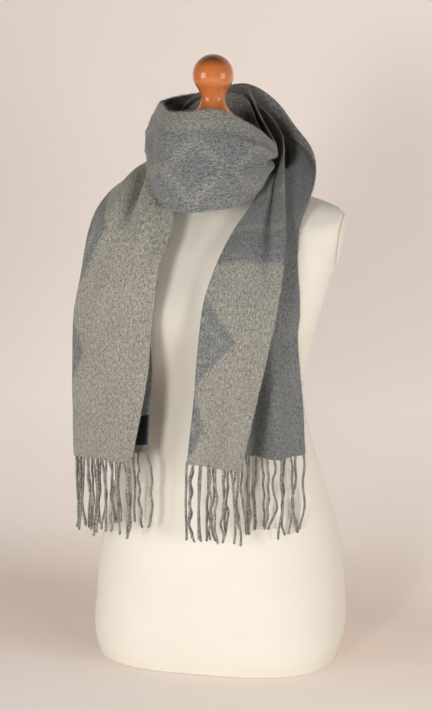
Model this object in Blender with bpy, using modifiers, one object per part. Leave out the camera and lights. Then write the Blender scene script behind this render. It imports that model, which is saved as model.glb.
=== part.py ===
"""A fringed scarf wound round the neck of a limbless dress form.

The scarf is one long double-faced cloth, folded lengthwise so that its fold lies below and its two
selvedges above, and wound one and a half times round the neck. Each stretch of it is a thin wall of its
own: the left tail, the inner wrap behind the neck, the front panel, the outer wrap and the right tail.
The form is a padded torso with a turned wooden neck knob and two armhole plates.
Metres, +Z up. The form faces -Y and stands on its flat base at the origin.
"""
import math

import bmesh
import bpy
import numpy as np

MM = 0.001

# driving sizes, metres
FORM_HEIGHT = 0.832
ARMHOLE_AT = 0.183
ARMHOLE_UP = 0.658
ARMHOLE_BACK = 0.020
ARMHOLE_TILT = math.radians(8)
ARMHOLE_FOOT = 0.560
PLATE_THICKNESS = 0.003
PLATE_TALL = 0.038
PLATE_DEEP = 0.025
GAP = 0.0003
SEAM_GAP = 0.0004
SCARF_WIDTH = 0.280
CLOTH_THICKNESS = 0.0018
FOLD_RADIUS = 0.0038
CHORD_ROOM = 0.0017
ROLL_ARC = 0.013
LAYER_ROOM = 0.0045
STACK_RAMP = 0.06
FRINGE_LENGTH = 0.118
FRINGE_PITCH = 0.0112
STRAND_WIDTH = 0.0032
HEM_STRIP = 0.004

# The scarf's stations are measured as seen from a little to the form's left.
VIEW_TURN = math.radians(12)

# Torso sections, mm: up, half width, front depth, back depth, shift back, squareness
FORM_SECTIONS = (
    ("base", 0, 182, 140, 110, 26, 3.0),
    ("base edge", 2, 186, 144, 114, 26, 3.0),
    ("base side", 7, 188, 146, 116, 26, 3.0),
    ("hips", 110, 194, 146, 120, 28, 2.6),
    ("upper hips", 200, 184, 135, 112, 25, 2.3),
    ("belly", 283, 162, 116, 100, 14, 2.25),
    ("high belly", 360, 142, 98, 88, 3, 2.2),
    ("waist", 433, 131, 87, 80, -4, 2.2),
    ("ribs", 499, 145, 96, 86, -8, 2.2),
    ("bust", 555, 160, 104, 94, -10, 2.2),
    ("chest", 610, 175, 112, 84, 2, 2.2),
    ("armhole", 655, 188, 110, 68, 14, 2.2),
    ("shoulder end", 688, 193, 88, 52, 16, 2.1),
    ("shoulder tip", 706, 178, 70, 42, 16, 2.0),
    ("shoulder", 720, 142, 56, 44, 12, 1.9),
    ("shoulder root", 734, 98, 50, 56, -6, 1.9),
    ("neck base", 752, 68, 54, 54, -22, 2.0),
    ("neck", 780, 57, 54, 54, -32, 2.0),
    ("neck top", 826, 54, 53, 53, -35, 2.0),
    ("neck edge", 832, 51, 50, 50, -35, 2.0),
)
BUST_AT = (0.078, 0.548)
BUST_SPREAD = (0.058, 0.060)
BUST_DEPTH = 0.026

# Scarf stations from the left hem to the right hem, mm: the fold, the outer layer's top line and the inner
# layer's selvedge, each as right, near, up; then how far the outer selvedge is rolled over, and how far
# each layer swells out.
SCARF_STATIONS = (
    ("left hem", -218, 37, 327, -133, 132, 340, -104, 114, 352, 0, 6, 3),
    ("left shin", -219, 39, 392, -118, 136, 412, -99, 119, 416, 0, 8, 4),
    ("left low", -218, 42, 470, -105, 141, 492, -97, 126, 492, 0, 8, 4),
    ("left middle", -215, 46, 541, -99, 144, 560, -98, 130, 556, 0, 8, 4),
    ("left chest", -200, 50, 622, -88, 139, 640, -90, 126, 636, 0, 12, 6),
    ("left collar", -191, 50, 671, -74, 119, 682, -80, 107, 678, 0, 14, 6),
    ("left slope", -176, 38, 709, -68, 90, 726, -74, 79, 720, 0, 14, 6),
    ("left shoulder", -148, 12, 735, -66, 60, 766, -70, 51, 758, 0, 10, 2),
    ("left ridge", -119, -16, 742, -72, 20, 802, -66, 14, 796, 0, 6, 0),
    ("left nape", -80, -44, 737, -54, -16, 850, -50, -10, 846, 0, 4, 0),
    ("nape", -10, -60, 738, -10, -46, 872, -10, -38, 866, 0, 10, 4),
    ("right nape", 50, -44, 740, 44, -32, 872, 40, -25, 866, 0, 8, 4),
    ("right side", 70, 4, 742, 64, 6, 834, 58, 6, 828, 0, 6, 3),
    ("panel turn", 71, 58, 754, 88, 62, 802, 78, 56, 801, 0, 8, 4),
    ("panel right", 58, 102, 737, 64, 84, 825, 61, 78, 821, 0, 8, 4),
    ("panel near right", 27, 124, 720, 32, 96, 843, 30, 90, 839, 0, 8, 4),
    ("panel middle", -9, 132, 714, -7, 102, 857, -7, 95, 853, 0, 8, 4),
    ("panel near left", -43, 127, 711, -40, 100, 854, -40, 94, 850, 0, 8, 4),
    ("panel left", -76, 108, 717, -68, 80, 853, -67, 75, 850, 0, 10, 4),
    ("panel end", -93, 82, 741, -76, 42, 862, -72, 36, 859, 0, 7, 4),
    ("left turn", -103, 30, 780, -83, -2, 862, -77, -2, 858, 0, 6, 4),
    ("outer left", -103, -36, 777, -74, -46, 864, -69, -39, 860, 0, 7, 4),
    ("outer left nape", -68, -76, 757, -49, -72, 868, -45, -64, 863, 0, 8, 4),
    ("outer nape", -10, -80, 744, -6, -76, 876, -6, -66, 866, 12, 8, 4),
    ("outer right nape", 46, -68, 745, 48, -72, 883, 42, -60, 870, 26, 8, 4),
    ("outer right", 84, -34, 743, 90, -58, 862, 68, -42, 854, 42, 8, 6),
    ("outer shoulder", 100, 10, 748, 121, -30, 823, 87, -12, 838, 28, 4, 5),
    ("right shoulder", 88, 40, 756, 137, 6, 787, 95, 22, 812, 16, 4, 5),
    ("right slope", 70, 69, 741, 141, 42, 757, 97, 58, 777, 5, 5, 3),
    ("right collar", 50, 89, 718, 129, 72, 722, 97, 90, 732, 0, 4, -2),
    ("right chest", 24, 112, 684, 114, 92, 684, 97, 118, 690, 0, 0, -6),
    ("right bust", 4, 140, 650, 111, 104, 647, 95, 146, 652, 0, 0, -8),
    ("right middle", -19, 155, 588, 111, 104, 580, 87, 168, 590, 0, 0, -8),
    ("right low", -29, 158, 512, 113, 100, 505, 72, 172, 514, 0, 0, -8),
    ("right shin", -35, 158, 438, 120, 100, 430, 56, 172, 441, 0, 0, -8),
    ("right hem", -45, 158, 346, 125, 100, 343, 33, 172, 337, 0, 0, -6),
)

# Each stretch is a solid of its own, from one station to another.
STRETCHES = (
    ("scarf_tail_left", "left hem", "left ridge"),
    ("scarf_wrap_inner", "left ridge", "panel turn"),
    ("scarf_front_panel", "panel turn", "left turn"),
    ("scarf_wrap_outer", "left turn", "right shoulder"),
    ("scarf_tail_right", "right shoulder", "right hem"),
)

# Largest creases, mm and shares: from station, share across there, to station, share across there, depth
# out, half width. The share is -1 at the outer selvedge, 0 at the fold and 1 at the inner selvedge.
CREASES = (
    ("left collar", -0.52, "left ridge", -0.44, -18, 13),
    ("left collar", 0.52, "left ridge", 0.44, -18, 13),
    ("left chest", -0.76, "left slope", -0.72, 7, 10),
    ("left chest", -0.92, "left ridge", -0.88, -10, 12),
    ("left chest", 0.92, "left ridge", 0.88, -10, 12),
    ("right side", -0.52, "panel right", -0.50, -17, 15),
    ("right side", 0.52, "panel right", 0.50, -17, 15),
    ("right shoulder", 0.45, "right middle", 0.80, 14, 13),
    ("right slope", 0.86, "right middle", 0.99, -7, 12),
    ("right bust", -0.50, "right hem", -0.56, 14, 13),
    ("right chest", -0.72, "right hem", -0.76, -10, 14),
)


def smooth_columns(knots, columns, at):
    """Columns read off a smooth curve through the rows: cubic pieces whose slope at each row is that of the
    two pieces beside it, weighted by their lengths."""
    knots = np.asarray(knots, float)
    columns = np.asarray(columns, float)
    steps = np.diff(knots)
    chords = np.diff(columns, axis=0) / steps[:, None]
    slopes = np.empty_like(columns)
    slopes[0] = chords[0]
    slopes[-1] = chords[-1]
    weighted = chords[:-1] * steps[1:, None] + chords[1:] * steps[:-1, None]
    slopes[1:-1] = weighted / (steps[:-1] + steps[1:])[:, None]
    at = np.clip(np.asarray(at, float), knots[0], knots[-1])
    piece = np.clip(np.searchsorted(knots, at, side="right") - 1, 0, len(steps) - 1)
    step = steps[piece][..., None]
    part = (at - knots[piece])[..., None] / step
    rise = part * part * (3 - 2 * part)
    leave = part * (1 - part) ** 2 * step
    arrive = -part * part * (1 - part) * step
    return (columns[piece] * (1 - rise) + columns[piece + 1] * rise
            + slopes[piece] * leave + slopes[piece + 1] * arrive)


def unit(vectors):
    """Vectors cut to a length of one."""
    return vectors / np.maximum(np.linalg.norm(vectors, axis=-1, keepdims=True), 1e-9)


# ---------------------------------------------------------------- the dress form

FORM_UP = np.array([row[1] for row in FORM_SECTIONS]) * MM
FORM_SHAPE = np.array([row[2:] for row in FORM_SECTIONS]) * (MM, MM, MM, MM, 1)


def form_depth(across, up, front):
    """Front depth of the torso with its bust: the section's depth and a soft mound on each side."""
    aside = (np.abs(across) - BUST_AT[0]) / BUST_SPREAD[0]
    above = (up - BUST_AT[1]) / BUST_SPREAD[1]
    return front + BUST_DEPTH * np.exp(-aside ** 2 - above ** 2)


def form_grid(rings, sides):
    """Torso surface: superellipse sections, one ring for each height, flattened at the armholes."""
    up = np.asarray(rings)[:, None]
    shape = smooth_columns(FORM_UP, FORM_SHAPE, up[:, 0])[:, :, None]
    half_width, front, back, shift, squareness = (shape[:, k] for k in range(5))
    turn = np.linspace(0, 2 * np.pi, sides, endpoint=False)[None, :]
    power = 2 / squareness
    across = half_width * np.sign(np.cos(turn)) * np.abs(np.cos(turn)) ** power
    depth = np.where(np.sin(turn) < 0, form_depth(across, up, front), back)
    along = shift + depth * np.sign(np.sin(turn)) * np.abs(np.sin(turn)) ** power
    flat = ARMHOLE_AT + (up - ARMHOLE_UP) * math.tan(ARMHOLE_TILT)
    limit = np.where(up > ARMHOLE_FOOT, flat, half_width)
    across = np.clip(across, -limit, limit)
    return np.stack(np.broadcast_arrays(across, along, up), axis=-1)


def form_reach(points):
    """How far out a point is, as a share of the torso's own section there: below one is inside."""
    shape = smooth_columns(FORM_UP, FORM_SHAPE, points[..., 2])
    half_width, front, back, shift, squareness = (shape[..., k] for k in range(5))
    behind = points[..., 1] - shift
    depth = np.where(behind < 0, form_depth(points[..., 0], points[..., 2], front), back)
    share = (np.abs(points[..., 0] / half_width) ** squareness + np.abs(behind / depth) ** squareness)
    return share ** (1 / squareness)


def push_clear(points, clearance):
    """Points moved straight out of the torso where they are nearer to it than their clearance."""
    step = 1e-4
    for _ in range(6):
        reach = form_reach(points)
        slope = np.stack([form_reach(points + step * axis) - reach for axis in np.eye(3)], axis=-1) / step
        steep = np.maximum(np.linalg.norm(slope, axis=-1), 1e-6)
        short = np.maximum(clearance - (reach - 1) / steep, 0)
        short = np.where(points[..., 2] < FORM_UP[-1] + clearance, short, 0)
        points = points + unit(slope) * np.minimum(short, 0.01)[..., None]
    return points


# ---------------------------------------------------------------- the scarf's surface

STATION_NAMES = [row[0] for row in SCARF_STATIONS]
STATION_SHAPE = np.array([row[1:] for row in SCARF_STATIONS]) * MM


def view_to_part(points):
    """Right, near and up, as seen, turned into the part's X, Y and Z."""
    right, near, up = points[..., 0], points[..., 1], points[..., 2]
    turn_cos, turn_sin = math.cos(VIEW_TURN), math.sin(VIEW_TURN)
    return np.stack([right * turn_cos + near * turn_sin, right * turn_sin - near * turn_cos, up], axis=-1)


MIDDLES = (STATION_SHAPE[:, 0:3] * 2 + STATION_SHAPE[:, 3:6] + STATION_SHAPE[:, 6:9]) / 4

# Distance along the cloth of each station, measured on the line midway between fold and selvedges.
PLACES = np.concatenate([[0], np.cumsum(np.linalg.norm(np.diff(MIDDLES, axis=0), axis=1))])


def middle_line(along):
    """The line midway between fold and selvedges."""
    return smooth_columns(PLACES, MIDDLES, along)


def place_of(name):
    """Distance along the cloth of a named station."""
    return PLACES[STATION_NAMES.index(name)]


def layer_points(start, leave, end, steps):
    """A layer from where it leaves the fold to its edge: a cubic that starts along the fold's rise."""
    share = np.asarray(steps)[None, :, None]
    reach = np.linalg.norm(end - start, axis=-1)[:, None, None]
    rise = share * share * (3 - 2 * share)
    leaving = share * (1 - share) ** 2 * reach * leave[:, None]
    arriving = -share * share * (1 - share) * (end - start)[:, None]
    return start[:, None] * (1 - rise) + end[:, None] * rise + leaving + arriving


def rolled_edge(top, upward, out, roll):
    """Four points past a layer's top line: three round an arc that closes as it widens, one hanging on."""
    arc = np.clip(roll, 0.3 * ROLL_ARC, ROLL_ARC)
    turn = np.maximum(np.pi * np.minimum(roll / ROLL_ARC, 1), 0.01)
    steps = turn * np.array([[1 / 3, 2 / 3, 1]])
    radius = arc / turn
    bent = (top[:, None] + (radius * np.sin(steps))[:, :, None] * upward[:, None]
            - (radius * (1 - np.cos(steps)))[:, :, None] * out[:, None])
    hang = np.maximum(roll - ROLL_ARC, 0) + 0.12 * ROLL_ARC
    end = bent[:, -1] + hang * (np.cos(turn) * upward - np.sin(turn) * out)
    return np.concatenate([bent, end[:, None]], axis=1)


def crease_depth(along, share):
    """Sum of the creases: each a bell across the cloth that rises and dies away along it, or runs out over
    a hem."""
    total = np.zeros(np.broadcast_shapes(along.shape, share.shape))
    for first, first_share, last, last_share, depth, half_width in CREASES:
        part = (along - place_of(first)) / (place_of(last) - place_of(first))
        inside = np.clip(part, 0, 1)
        middle = first_share + (last_share - first_share) * inside
        across = (share - middle) * SCARF_WIDTH / 2 / (half_width * MM)
        half_turns = 0.5 if last.endswith("hem") else 1
        rise = np.sin(np.pi * half_turns * inside) ** 1.2
        total = total + depth * MM * rise * np.exp(-across ** 2)
    return total


def scarf_grid(along, flat_steps, fold_steps):
    """The cloth's middle surface: one row for each place along, from the outer selvedge to the inner one.

    Each row is a hairpin: the outer layer with its rolled edge, a half circle at the fold, and the inner
    layer, swollen out between fold and edge and creased, then pushed clear of the torso.
    """
    along = np.asarray(along, float)
    shape = smooth_columns(PLACES, STATION_SHAPE, along)
    fold, outer, inner = (view_to_part(shape[:, k:k + 3]) for k in (0, 3, 6))
    roll, swell_outer, swell_inner = (shape[:, k:k + 1] for k in (9, 10, 11))
    inside = np.clip(along, PLACES[0] + MM, PLACES[-1] - MM)
    travel = unit(view_to_part(middle_line(inside + MM) - middle_line(inside - MM)))
    rise = unit((outer + inner) / 2 - fold)
    out = unit(np.cross(rise, travel))
    steps = np.linspace(0, 1, flat_steps + 1)
    swell = 4 * steps * (1 - steps)
    outer_start = fold + FOLD_RADIUS * (rise + out)
    inner_start = fold + FOLD_RADIUS * (rise - out)
    outer_rows = layer_points(outer_start, rise, outer, steps)
    outer_rows = outer_rows + (swell_outer * swell[None, :])[:, :, None] * out[:, None]
    inner_rows = layer_points(inner_start, rise, inner, steps)
    inner_rows = inner_rows + (swell_inner * swell[None, :])[:, :, None] * out[:, None]
    angles = np.linspace(np.pi / 2, -np.pi / 2, fold_steps + 1)[1:-1]
    fold_rows = (fold[:, None] + FOLD_RADIUS * ((1 - np.cos(angles))[None, :, None] * rise[:, None]
                                                + np.sin(angles)[None, :, None] * out[:, None]))
    upward = unit(outer_rows[:, -1] - outer_rows[:, -2])
    edge_travel = view_to_part(smooth_columns(PLACES, STATION_SHAPE[:, 3:6], inside + MM)
                               - smooth_columns(PLACES, STATION_SHAPE[:, 3:6], inside - MM))
    edge_out = unit(np.cross(upward, edge_travel))
    rolled = rolled_edge(outer_rows[:, -1], upward, edge_out, roll)
    rows = np.concatenate([rolled[:, ::-1], outer_rows[:, ::-1], fold_rows, inner_rows], axis=1)
    share = np.concatenate([-np.ones(4), -steps[::-1], np.zeros(fold_steps - 1), steps])
    rows = rows + crease_depth(along[:, None], share[None, :])[:, :, None] * out[:, None]
    on_left = np.clip((place_of("left ridge") - along) / STACK_RAMP, 0, 1)[:, None]
    on_right = np.clip((along - place_of("right shoulder")) / STACK_RAMP, 0, 1)[:, None]
    above = (on_left * np.clip(0.5 - 4 * share, 0, 1)[None, :]
             + on_right * np.clip(0.5 + 4 * share, 0, 1)[None, :])
    clearance = CLOTH_THICKNESS / 2 + GAP + CHORD_ROOM + above * LAYER_ROOM
    return push_clear(rows, clearance)


# ---------------------------------------------------------------- building


def material(name, colour, roughness):
    """A plain Principled material."""
    made = bpy.data.materials.new(name)
    made.use_nodes = True
    shader = made.node_tree.nodes["Principled BSDF"]
    shader.inputs["Base Color"].default_value = (*colour, 1)
    shader.inputs["Roughness"].default_value = roughness
    made.diffuse_color = (*colour, 1)
    return made


def mesh_object(name, points, faces, collection, finish):
    """An object from points and faces, shaded smooth."""
    mesh = bpy.data.meshes.new(name)
    mesh.from_pydata([tuple(point) for point in points], [], faces)
    mesh.materials.append(finish)
    mesh.shade_smooth()
    made = bpy.data.objects.new(name, mesh)
    collection.objects.link(made)
    return made


def grid_faces(rows, columns, closed=False):
    """Triangles of a grid of points, two for each field, closed round its rows where asked."""
    faces = []
    for row in range(rows - 1):
        for column in range(columns if closed else columns - 1):
            beside = (column + 1) % columns
            here, right = row * columns + column, row * columns + beside
            faces += [(here, right, right + columns), (here, right + columns, here + columns)]
    return faces


# Heights of the torso's rings, metres: a rounded foot, even ones up the body, close ones over the shoulders
FOOT_RINGS = (0, 0.002, 0.007)
BODY_RINGS = np.linspace(0.06, 0.66, 14)
SHOULDER_RINGS = (0.682, 0.695, 0.704, 0.711, 0.717, 0.723, 0.730, 0.738, 0.748, 0.762, 0.785, 0.826,
                  FORM_HEIGHT)
RING_SIDES = 40


def build_torso(collection, finish):
    """The padded torso: superellipse rings, flat below and at the neck."""
    rings = np.concatenate([FOOT_RINGS, BODY_RINGS, SHOULDER_RINGS])
    grid = form_grid(rings, RING_SIDES)
    faces = grid_faces(len(rings), RING_SIDES, closed=True)
    faces.append(tuple(range(RING_SIDES))[::-1])
    faces.append(tuple(range((len(rings) - 1) * RING_SIDES, len(rings) * RING_SIDES)))
    return mesh_object("form_torso", grid.reshape(-1, 3), faces, collection, finish)


def turned(name, profile, place, collection, finish, steps=32):
    """A turned piece: a profile of radius and height, top to bottom, spun round the upright axis."""
    mesh = bpy.data.meshes.new(name)
    edges = [(k, k + 1) for k in range(len(profile) - 1)]
    mesh.from_pydata([(radius, 0, up) for radius, up in profile], edges, [])
    mesh.materials.append(finish)
    made = bpy.data.objects.new(name, mesh)
    made.location = place
    collection.objects.link(made)
    spin = made.modifiers.new("turned", "SCREW")
    spin.steps = spin.render_steps = steps
    spin.use_merge_vertices = True
    spin.merge_threshold = 0.0001
    return made


KNOB_AT = (0.0, -0.035)
BALL_RADIUS = 0.0300
BALL_UP = 0.0688
WAIST_RADIUS = 0.0180
FLANGE_RADIUS = 0.0385


def knob_profile():
    """Knob outline from the crown down: a ball, a hollow waist and a flared foot, heights above its seat."""
    ball = [(BALL_RADIUS * math.sin(math.radians(a)), BALL_UP + BALL_RADIUS * math.cos(math.radians(a)))
            for a in (0, 12, 25, 38, 51, 64, 77, 90, 103, 116, 129)]
    foot = [(0.0208, 0.0450), (WAIST_RADIUS + 0.0008, 0.0395), (WAIST_RADIUS, 0.034), (0.0190, 0.0285),
            (0.0225, 0.0215), (0.0285, 0.0140), (0.0345, 0.0085), (0.0378, 0.0060), (FLANGE_RADIUS, 0.0040),
            (FLANGE_RADIUS, 0.0012), (FLANGE_RADIUS - 0.001, 0.0), (0.0, 0.0)]
    return ball + foot


def build_plate(name, side, collection, finish):
    """A flat oval armhole plate lying on the flattened shoulder end, its foot leaning in."""
    bpy.ops.mesh.primitive_cylinder_add(vertices=32, radius=1, depth=1)
    made = bpy.context.object
    made.name = name
    made.data.name = name
    tilt_cos, tilt_sin = math.cos(ARMHOLE_TILT), math.sin(ARMHOLE_TILT)
    for vertex in made.data.vertices:
        x, y, z = vertex.co
        rise = -x * PLATE_TALL
        stand = GAP + PLATE_THICKNESS * (0.5 + z)
        vertex.co = (side * (ARMHOLE_AT + stand * tilt_cos + rise * tilt_sin),
                     ARMHOLE_BACK + side * y * PLATE_DEEP,
                     ARMHOLE_UP + rise * tilt_cos - stand * tilt_sin)
    made.data.materials.append(finish)
    for old in list(made.users_collection):
        old.objects.unlink(made)
    collection.objects.link(made)
    return made


ROW_PITCH = 0.025
FLAT_STEPS = 12
FOLD_STEPS = 4


def wall_object(name, middle, normal, thickness, collection, finish):
    """A closed wall: the middle surface moved out and in by half its thickness, with a rim all round."""
    rows, columns = middle.shape[:2]
    count = rows * columns
    points = np.concatenate([(middle + normal * thickness / 2).reshape(-1, 3),
                             (middle - normal * thickness / 2).reshape(-1, 3)])
    upper = grid_faces(rows, columns)
    faces = upper + [tuple(corner + count for corner in face[::-1]) for face in upper]
    rim = [*range(columns), *range(2 * columns - 1, count, columns),
           *range(count - 2, count - columns - 1, -1), *range(count - 2 * columns, 0, -columns)]
    for here, there in zip(rim, rim[1:] + rim[:1]):
        if here < there:
            faces += [(here, here + count, there + count), (here, there + count, there)]
        else:
            faces += [(here, here + count, there), (here + count, there + count, there)]
    return mesh_object(name, points, faces, collection, finish)


def build_stretch(name, first, last, collection, finish):
    """One stretch of the folded cloth. Its normals are the whole cloth's, so seams meet face to face."""
    start, end = place_of(first), place_of(last)
    rows = max(4, round((end - start) / ROW_PITCH))
    along = np.linspace(start, end, rows + 1)
    grid, before, after = (scarf_grid(along + step, FLAT_STEPS, FOLD_STEPS) for step in (0, -MM, MM))
    ahead = unit(after - before)
    across = unit(np.gradient(grid, axis=1))
    normal = unit(np.cross(across, ahead))
    apart = np.cross(normal, across) * SEAM_GAP / 2
    if first != STATION_NAMES[0]:
        grid[0] += apart[0]
    if last != STATION_NAMES[-1]:
        grid[-1] -= apart[-1]
    return wall_object(name, grid, normal, CLOTH_THICKNESS, collection, finish)


LABEL_ALONG = (0.012, 0.060)
LABEL_SHARES = (0.62, 0.985)
LABEL_THICKNESS = 0.0007
LABEL_ROWS = 5
LABEL_COLUMNS = 8
LABEL_FINE_STEPS = 40


def build_label(collection, finish):
    """The blank label on the inner face of the left tail's under layer, made from that layer's points."""
    layer = scarf_grid(np.linspace(*LABEL_ALONG, LABEL_ROWS), LABEL_FINE_STEPS, FOLD_STEPS)
    layer = layer[:, -(LABEL_FINE_STEPS + 1):]
    picked = (np.linspace(*LABEL_SHARES, LABEL_COLUMNS) * LABEL_FINE_STEPS).round().astype(int)
    grid = layer[:, picked]
    normal = unit(np.cross(np.gradient(grid, axis=1), np.gradient(grid, axis=0)))
    lift = CLOTH_THICKNESS / 2 + GAP + LABEL_THICKNESS / 2
    points = (grid + lift * normal).reshape(-1, 3)
    made = mesh_object("label", points, grid_faces(*grid.shape[:2]), collection, finish)
    wall = made.modifiers.new("ribbon", "SOLIDIFY")
    wall.thickness = LABEL_THICKNESS
    wall.offset = 0
    return made


def scatter(number, salt):
    """A steady value between -1 and 1 that looks unordered."""
    return 2 * (math.sin(12.9898 * number + 78.233 * salt) * 43758.5453 % 1) - 1


STRAND_STEPS = 5
STRAND_SWAY = 0.0022
STRAND_WAVE = 0.0012
STRAND_LEAN = 0.0013
STRAND_TAPER = 0.25


def build_fringe(name, along, collection, finish):
    """A fringe: a narrow strip under the hem, with a four-sided strand drawn down from every other field."""
    hem = scarf_grid([along, along], FLAT_STEPS, FOLD_STEPS)[0]
    lengths = np.concatenate([[0], np.cumsum(np.linalg.norm(np.diff(hem, axis=0), axis=1))])
    count = int((lengths[-1] - STRAND_WIDTH - 2 * MM) / FRINGE_PITCH) + 1
    start = (lengths[-1] - (count - 1) * FRINGE_PITCH) / 2
    roots = start + FRINGE_PITCH * np.arange(count)
    places = np.sort(np.concatenate([roots - STRAND_WIDTH / 2, roots + STRAND_WIDTH / 2]))
    line = np.stack([np.interp(places, lengths, hem[:, k]) for k in range(3)], axis=-1)
    tangent = unit(np.gradient(line, axis=0) * (1, 1, 0))
    side = np.cross(tangent, (0, 0, 1))
    line = line - np.array([0, 0, 2 * GAP])
    thick = side * CLOTH_THICKNESS / 2
    down = np.array([0, 0, HEM_STRIP])
    corners = (line + thick, line - thick, line - thick - down, line + thick - down)
    points = [point for row in zip(*corners) for point in row]
    faces = [(3, 2, 1, 0)]
    last = 4 * (len(places) - 1)
    faces.append((last, last + 1, last + 2, last + 3))
    for k in range(len(places) - 1):
        here, there = 4 * k, 4 * k + 4
        faces += [(here, here + 1, there + 1, there), (here + 1, here + 2, there + 2, there + 1),
                  (here + 3, here, there, there + 3)]
        if k % 2:
            faces.append((here + 2, here + 3, there + 3, there + 2))
            continue
        ring = (here + 2, here + 3, there + 3, there + 2)
        root = (line[k] + line[k + 1]) / 2 - down
        across = tangent[k] * STRAND_WIDTH / 2
        number = k // 2
        length = FRINGE_LENGTH * (1 + 0.06 * scatter(number, 1)) - HEM_STRIP
        for step in range(1, STRAND_STEPS + 1):
            share = step / STRAND_STEPS
            wave = math.sin(2.2 * math.pi * share + 3 * scatter(number, 3)) * share
            sway = STRAND_SWAY * scatter(number, 2) * share ** 1.5 + STRAND_WAVE * wave
            lean = STRAND_LEAN * scatter(number, 4) * math.sin(math.pi * share)
            middle = root + tangent[k] * sway + side[k] * lean - np.array([0, 0, length * share])
            middle = push_clear(middle, STRAND_WIDTH)
            slim = 1 - STRAND_TAPER * share
            deep = side[k] * STRAND_WIDTH / 2 * slim
            first = len(points)
            points += [middle - across * slim - deep, middle - across * slim + deep,
                       middle + across * slim + deep, middle + across * slim - deep]
            ring_next = tuple(range(first, first + 4))
            for corner in range(4):
                beside = (corner + 1) % 4
                faces.append((ring[corner], ring[beside], ring_next[beside], ring_next[corner]))
            ring = ring_next
        faces.append(ring)
    made = mesh_object(name, points, faces, collection, finish)
    shell = bmesh.new()
    shell.from_mesh(made.data)
    bmesh.ops.recalc_face_normals(shell, faces=shell.faces)
    shell.to_mesh(made.data)
    shell.free()
    made.data.shade_flat()
    return made


def main():
    """Builds the whole model."""
    for old in list(bpy.data.objects):
        bpy.data.objects.remove(old)
    collection = bpy.data.collections.new("scarf_on_dress_form")
    bpy.context.scene.collection.children.link(collection)
    cream = material("cream jersey", (0.78, 0.72, 0.62), 0.7)
    wood = material("orange wood", (0.50, 0.16, 0.04), 0.25)
    cloth = material("grey cashmere", (0.28, 0.27, 0.25), 0.9)
    ribbon = material("black label", (0.02, 0.02, 0.025), 0.6)
    build_torso(collection, cream)
    turned("neck_knob", knob_profile(), (*KNOB_AT, FORM_HEIGHT + GAP), collection, wood)
    build_plate("armhole_plate_left", 1, collection, cream)
    build_plate("armhole_plate_right", -1, collection, cream)
    for name, first, last in STRETCHES:
        build_stretch(name, first, last, collection, cloth)
    build_label(collection, ribbon)
    build_fringe("fringe_left", PLACES[0], collection, cloth)
    build_fringe("fringe_right", PLACES[-1], collection, cloth)


main()
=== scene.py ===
"""The looks of a fringed scarf wound round the neck of a limbless dress form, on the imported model.

Metres, +Z up. The form faces -Y and stands on its base at the origin. The sections follow the object as it is
put together: the set, the torso in its jersey, the armhole plates, the turned knob, the wound cloth, its
label and its fringes.
"""
import math

import bmesh
import bpy
import numpy as np
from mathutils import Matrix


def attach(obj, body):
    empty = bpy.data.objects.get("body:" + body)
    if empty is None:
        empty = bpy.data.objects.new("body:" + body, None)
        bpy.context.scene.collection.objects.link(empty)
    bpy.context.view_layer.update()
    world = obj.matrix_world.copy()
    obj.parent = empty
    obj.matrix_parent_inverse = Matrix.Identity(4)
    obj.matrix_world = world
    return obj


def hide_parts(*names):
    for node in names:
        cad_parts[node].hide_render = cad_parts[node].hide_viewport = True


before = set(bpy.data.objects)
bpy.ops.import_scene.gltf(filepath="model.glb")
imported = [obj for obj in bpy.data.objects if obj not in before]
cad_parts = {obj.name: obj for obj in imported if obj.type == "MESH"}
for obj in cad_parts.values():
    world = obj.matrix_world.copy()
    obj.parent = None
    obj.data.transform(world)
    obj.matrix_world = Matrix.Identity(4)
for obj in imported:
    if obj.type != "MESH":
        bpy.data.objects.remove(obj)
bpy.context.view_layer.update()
MM = 0.001


# ================================================================ the set
# A seamless pale backdrop that curves up behind the form, with a lamp of its own, a softbox on each side of
# the camera and softer fill between them, in a pale dim room. The camera stands a little to the form's left
# and looks down on it.

CAMERA_TURN = math.radians(12)
CAMERA_DOWN = math.radians(11.75)
CAMERA_REACH = 2.7
CAMERA_HEIGHT = 1.036
CAMERA_ASIDE = -0.003
CAMERA_LENS = 91.26

view_right = np.array([math.cos(CAMERA_TURN), math.sin(CAMERA_TURN), 0])
view_near = np.array([math.sin(CAMERA_TURN), -math.cos(CAMERA_TURN), 0])

camera = bpy.data.objects.new("camera", bpy.data.cameras.new("camera"))
camera.data.lens = CAMERA_LENS
camera.data.sensor_width = 36
camera.location = view_near * CAMERA_REACH + view_right * CAMERA_ASIDE + (0, 0, CAMERA_HEIGHT)
camera.rotation_euler = (math.pi / 2 - CAMERA_DOWN, 0, CAMERA_TURN)
bpy.context.collection.objects.link(camera)
bpy.context.scene.camera = camera
bpy.context.scene.view_settings.view_transform = "Standard"


def grid_faces(rows, columns, closed=False):
    """Corner numbers of the quads of a grid of points; closed joins the last column to the first."""
    row = np.arange(rows - 1)[:, None]
    column = np.arange(columns if closed else columns - 1)[None, :]
    beside = (column + 1) % columns
    corners = [row * columns + column, row * columns + beside, (row + 1) * columns + beside,
               (row + 1) * columns + column]
    return np.stack(corners, axis=-1).reshape(-1, 4)


def new_piece(name, points, faces, finishes, smooth=True):
    """An object at the origin from arrays of points and faces."""
    mesh = bpy.data.meshes.new(name)
    mesh.from_pydata(np.asarray(points).reshape(-1, 3).tolist(), [], [list(face) for face in faces])
    for finish in finishes:
        mesh.materials.append(finish)
    if smooth:
        mesh.shade_smooth()
    piece = bpy.data.objects.new(name, mesh)
    bpy.context.collection.objects.link(piece)
    return piece


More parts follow.
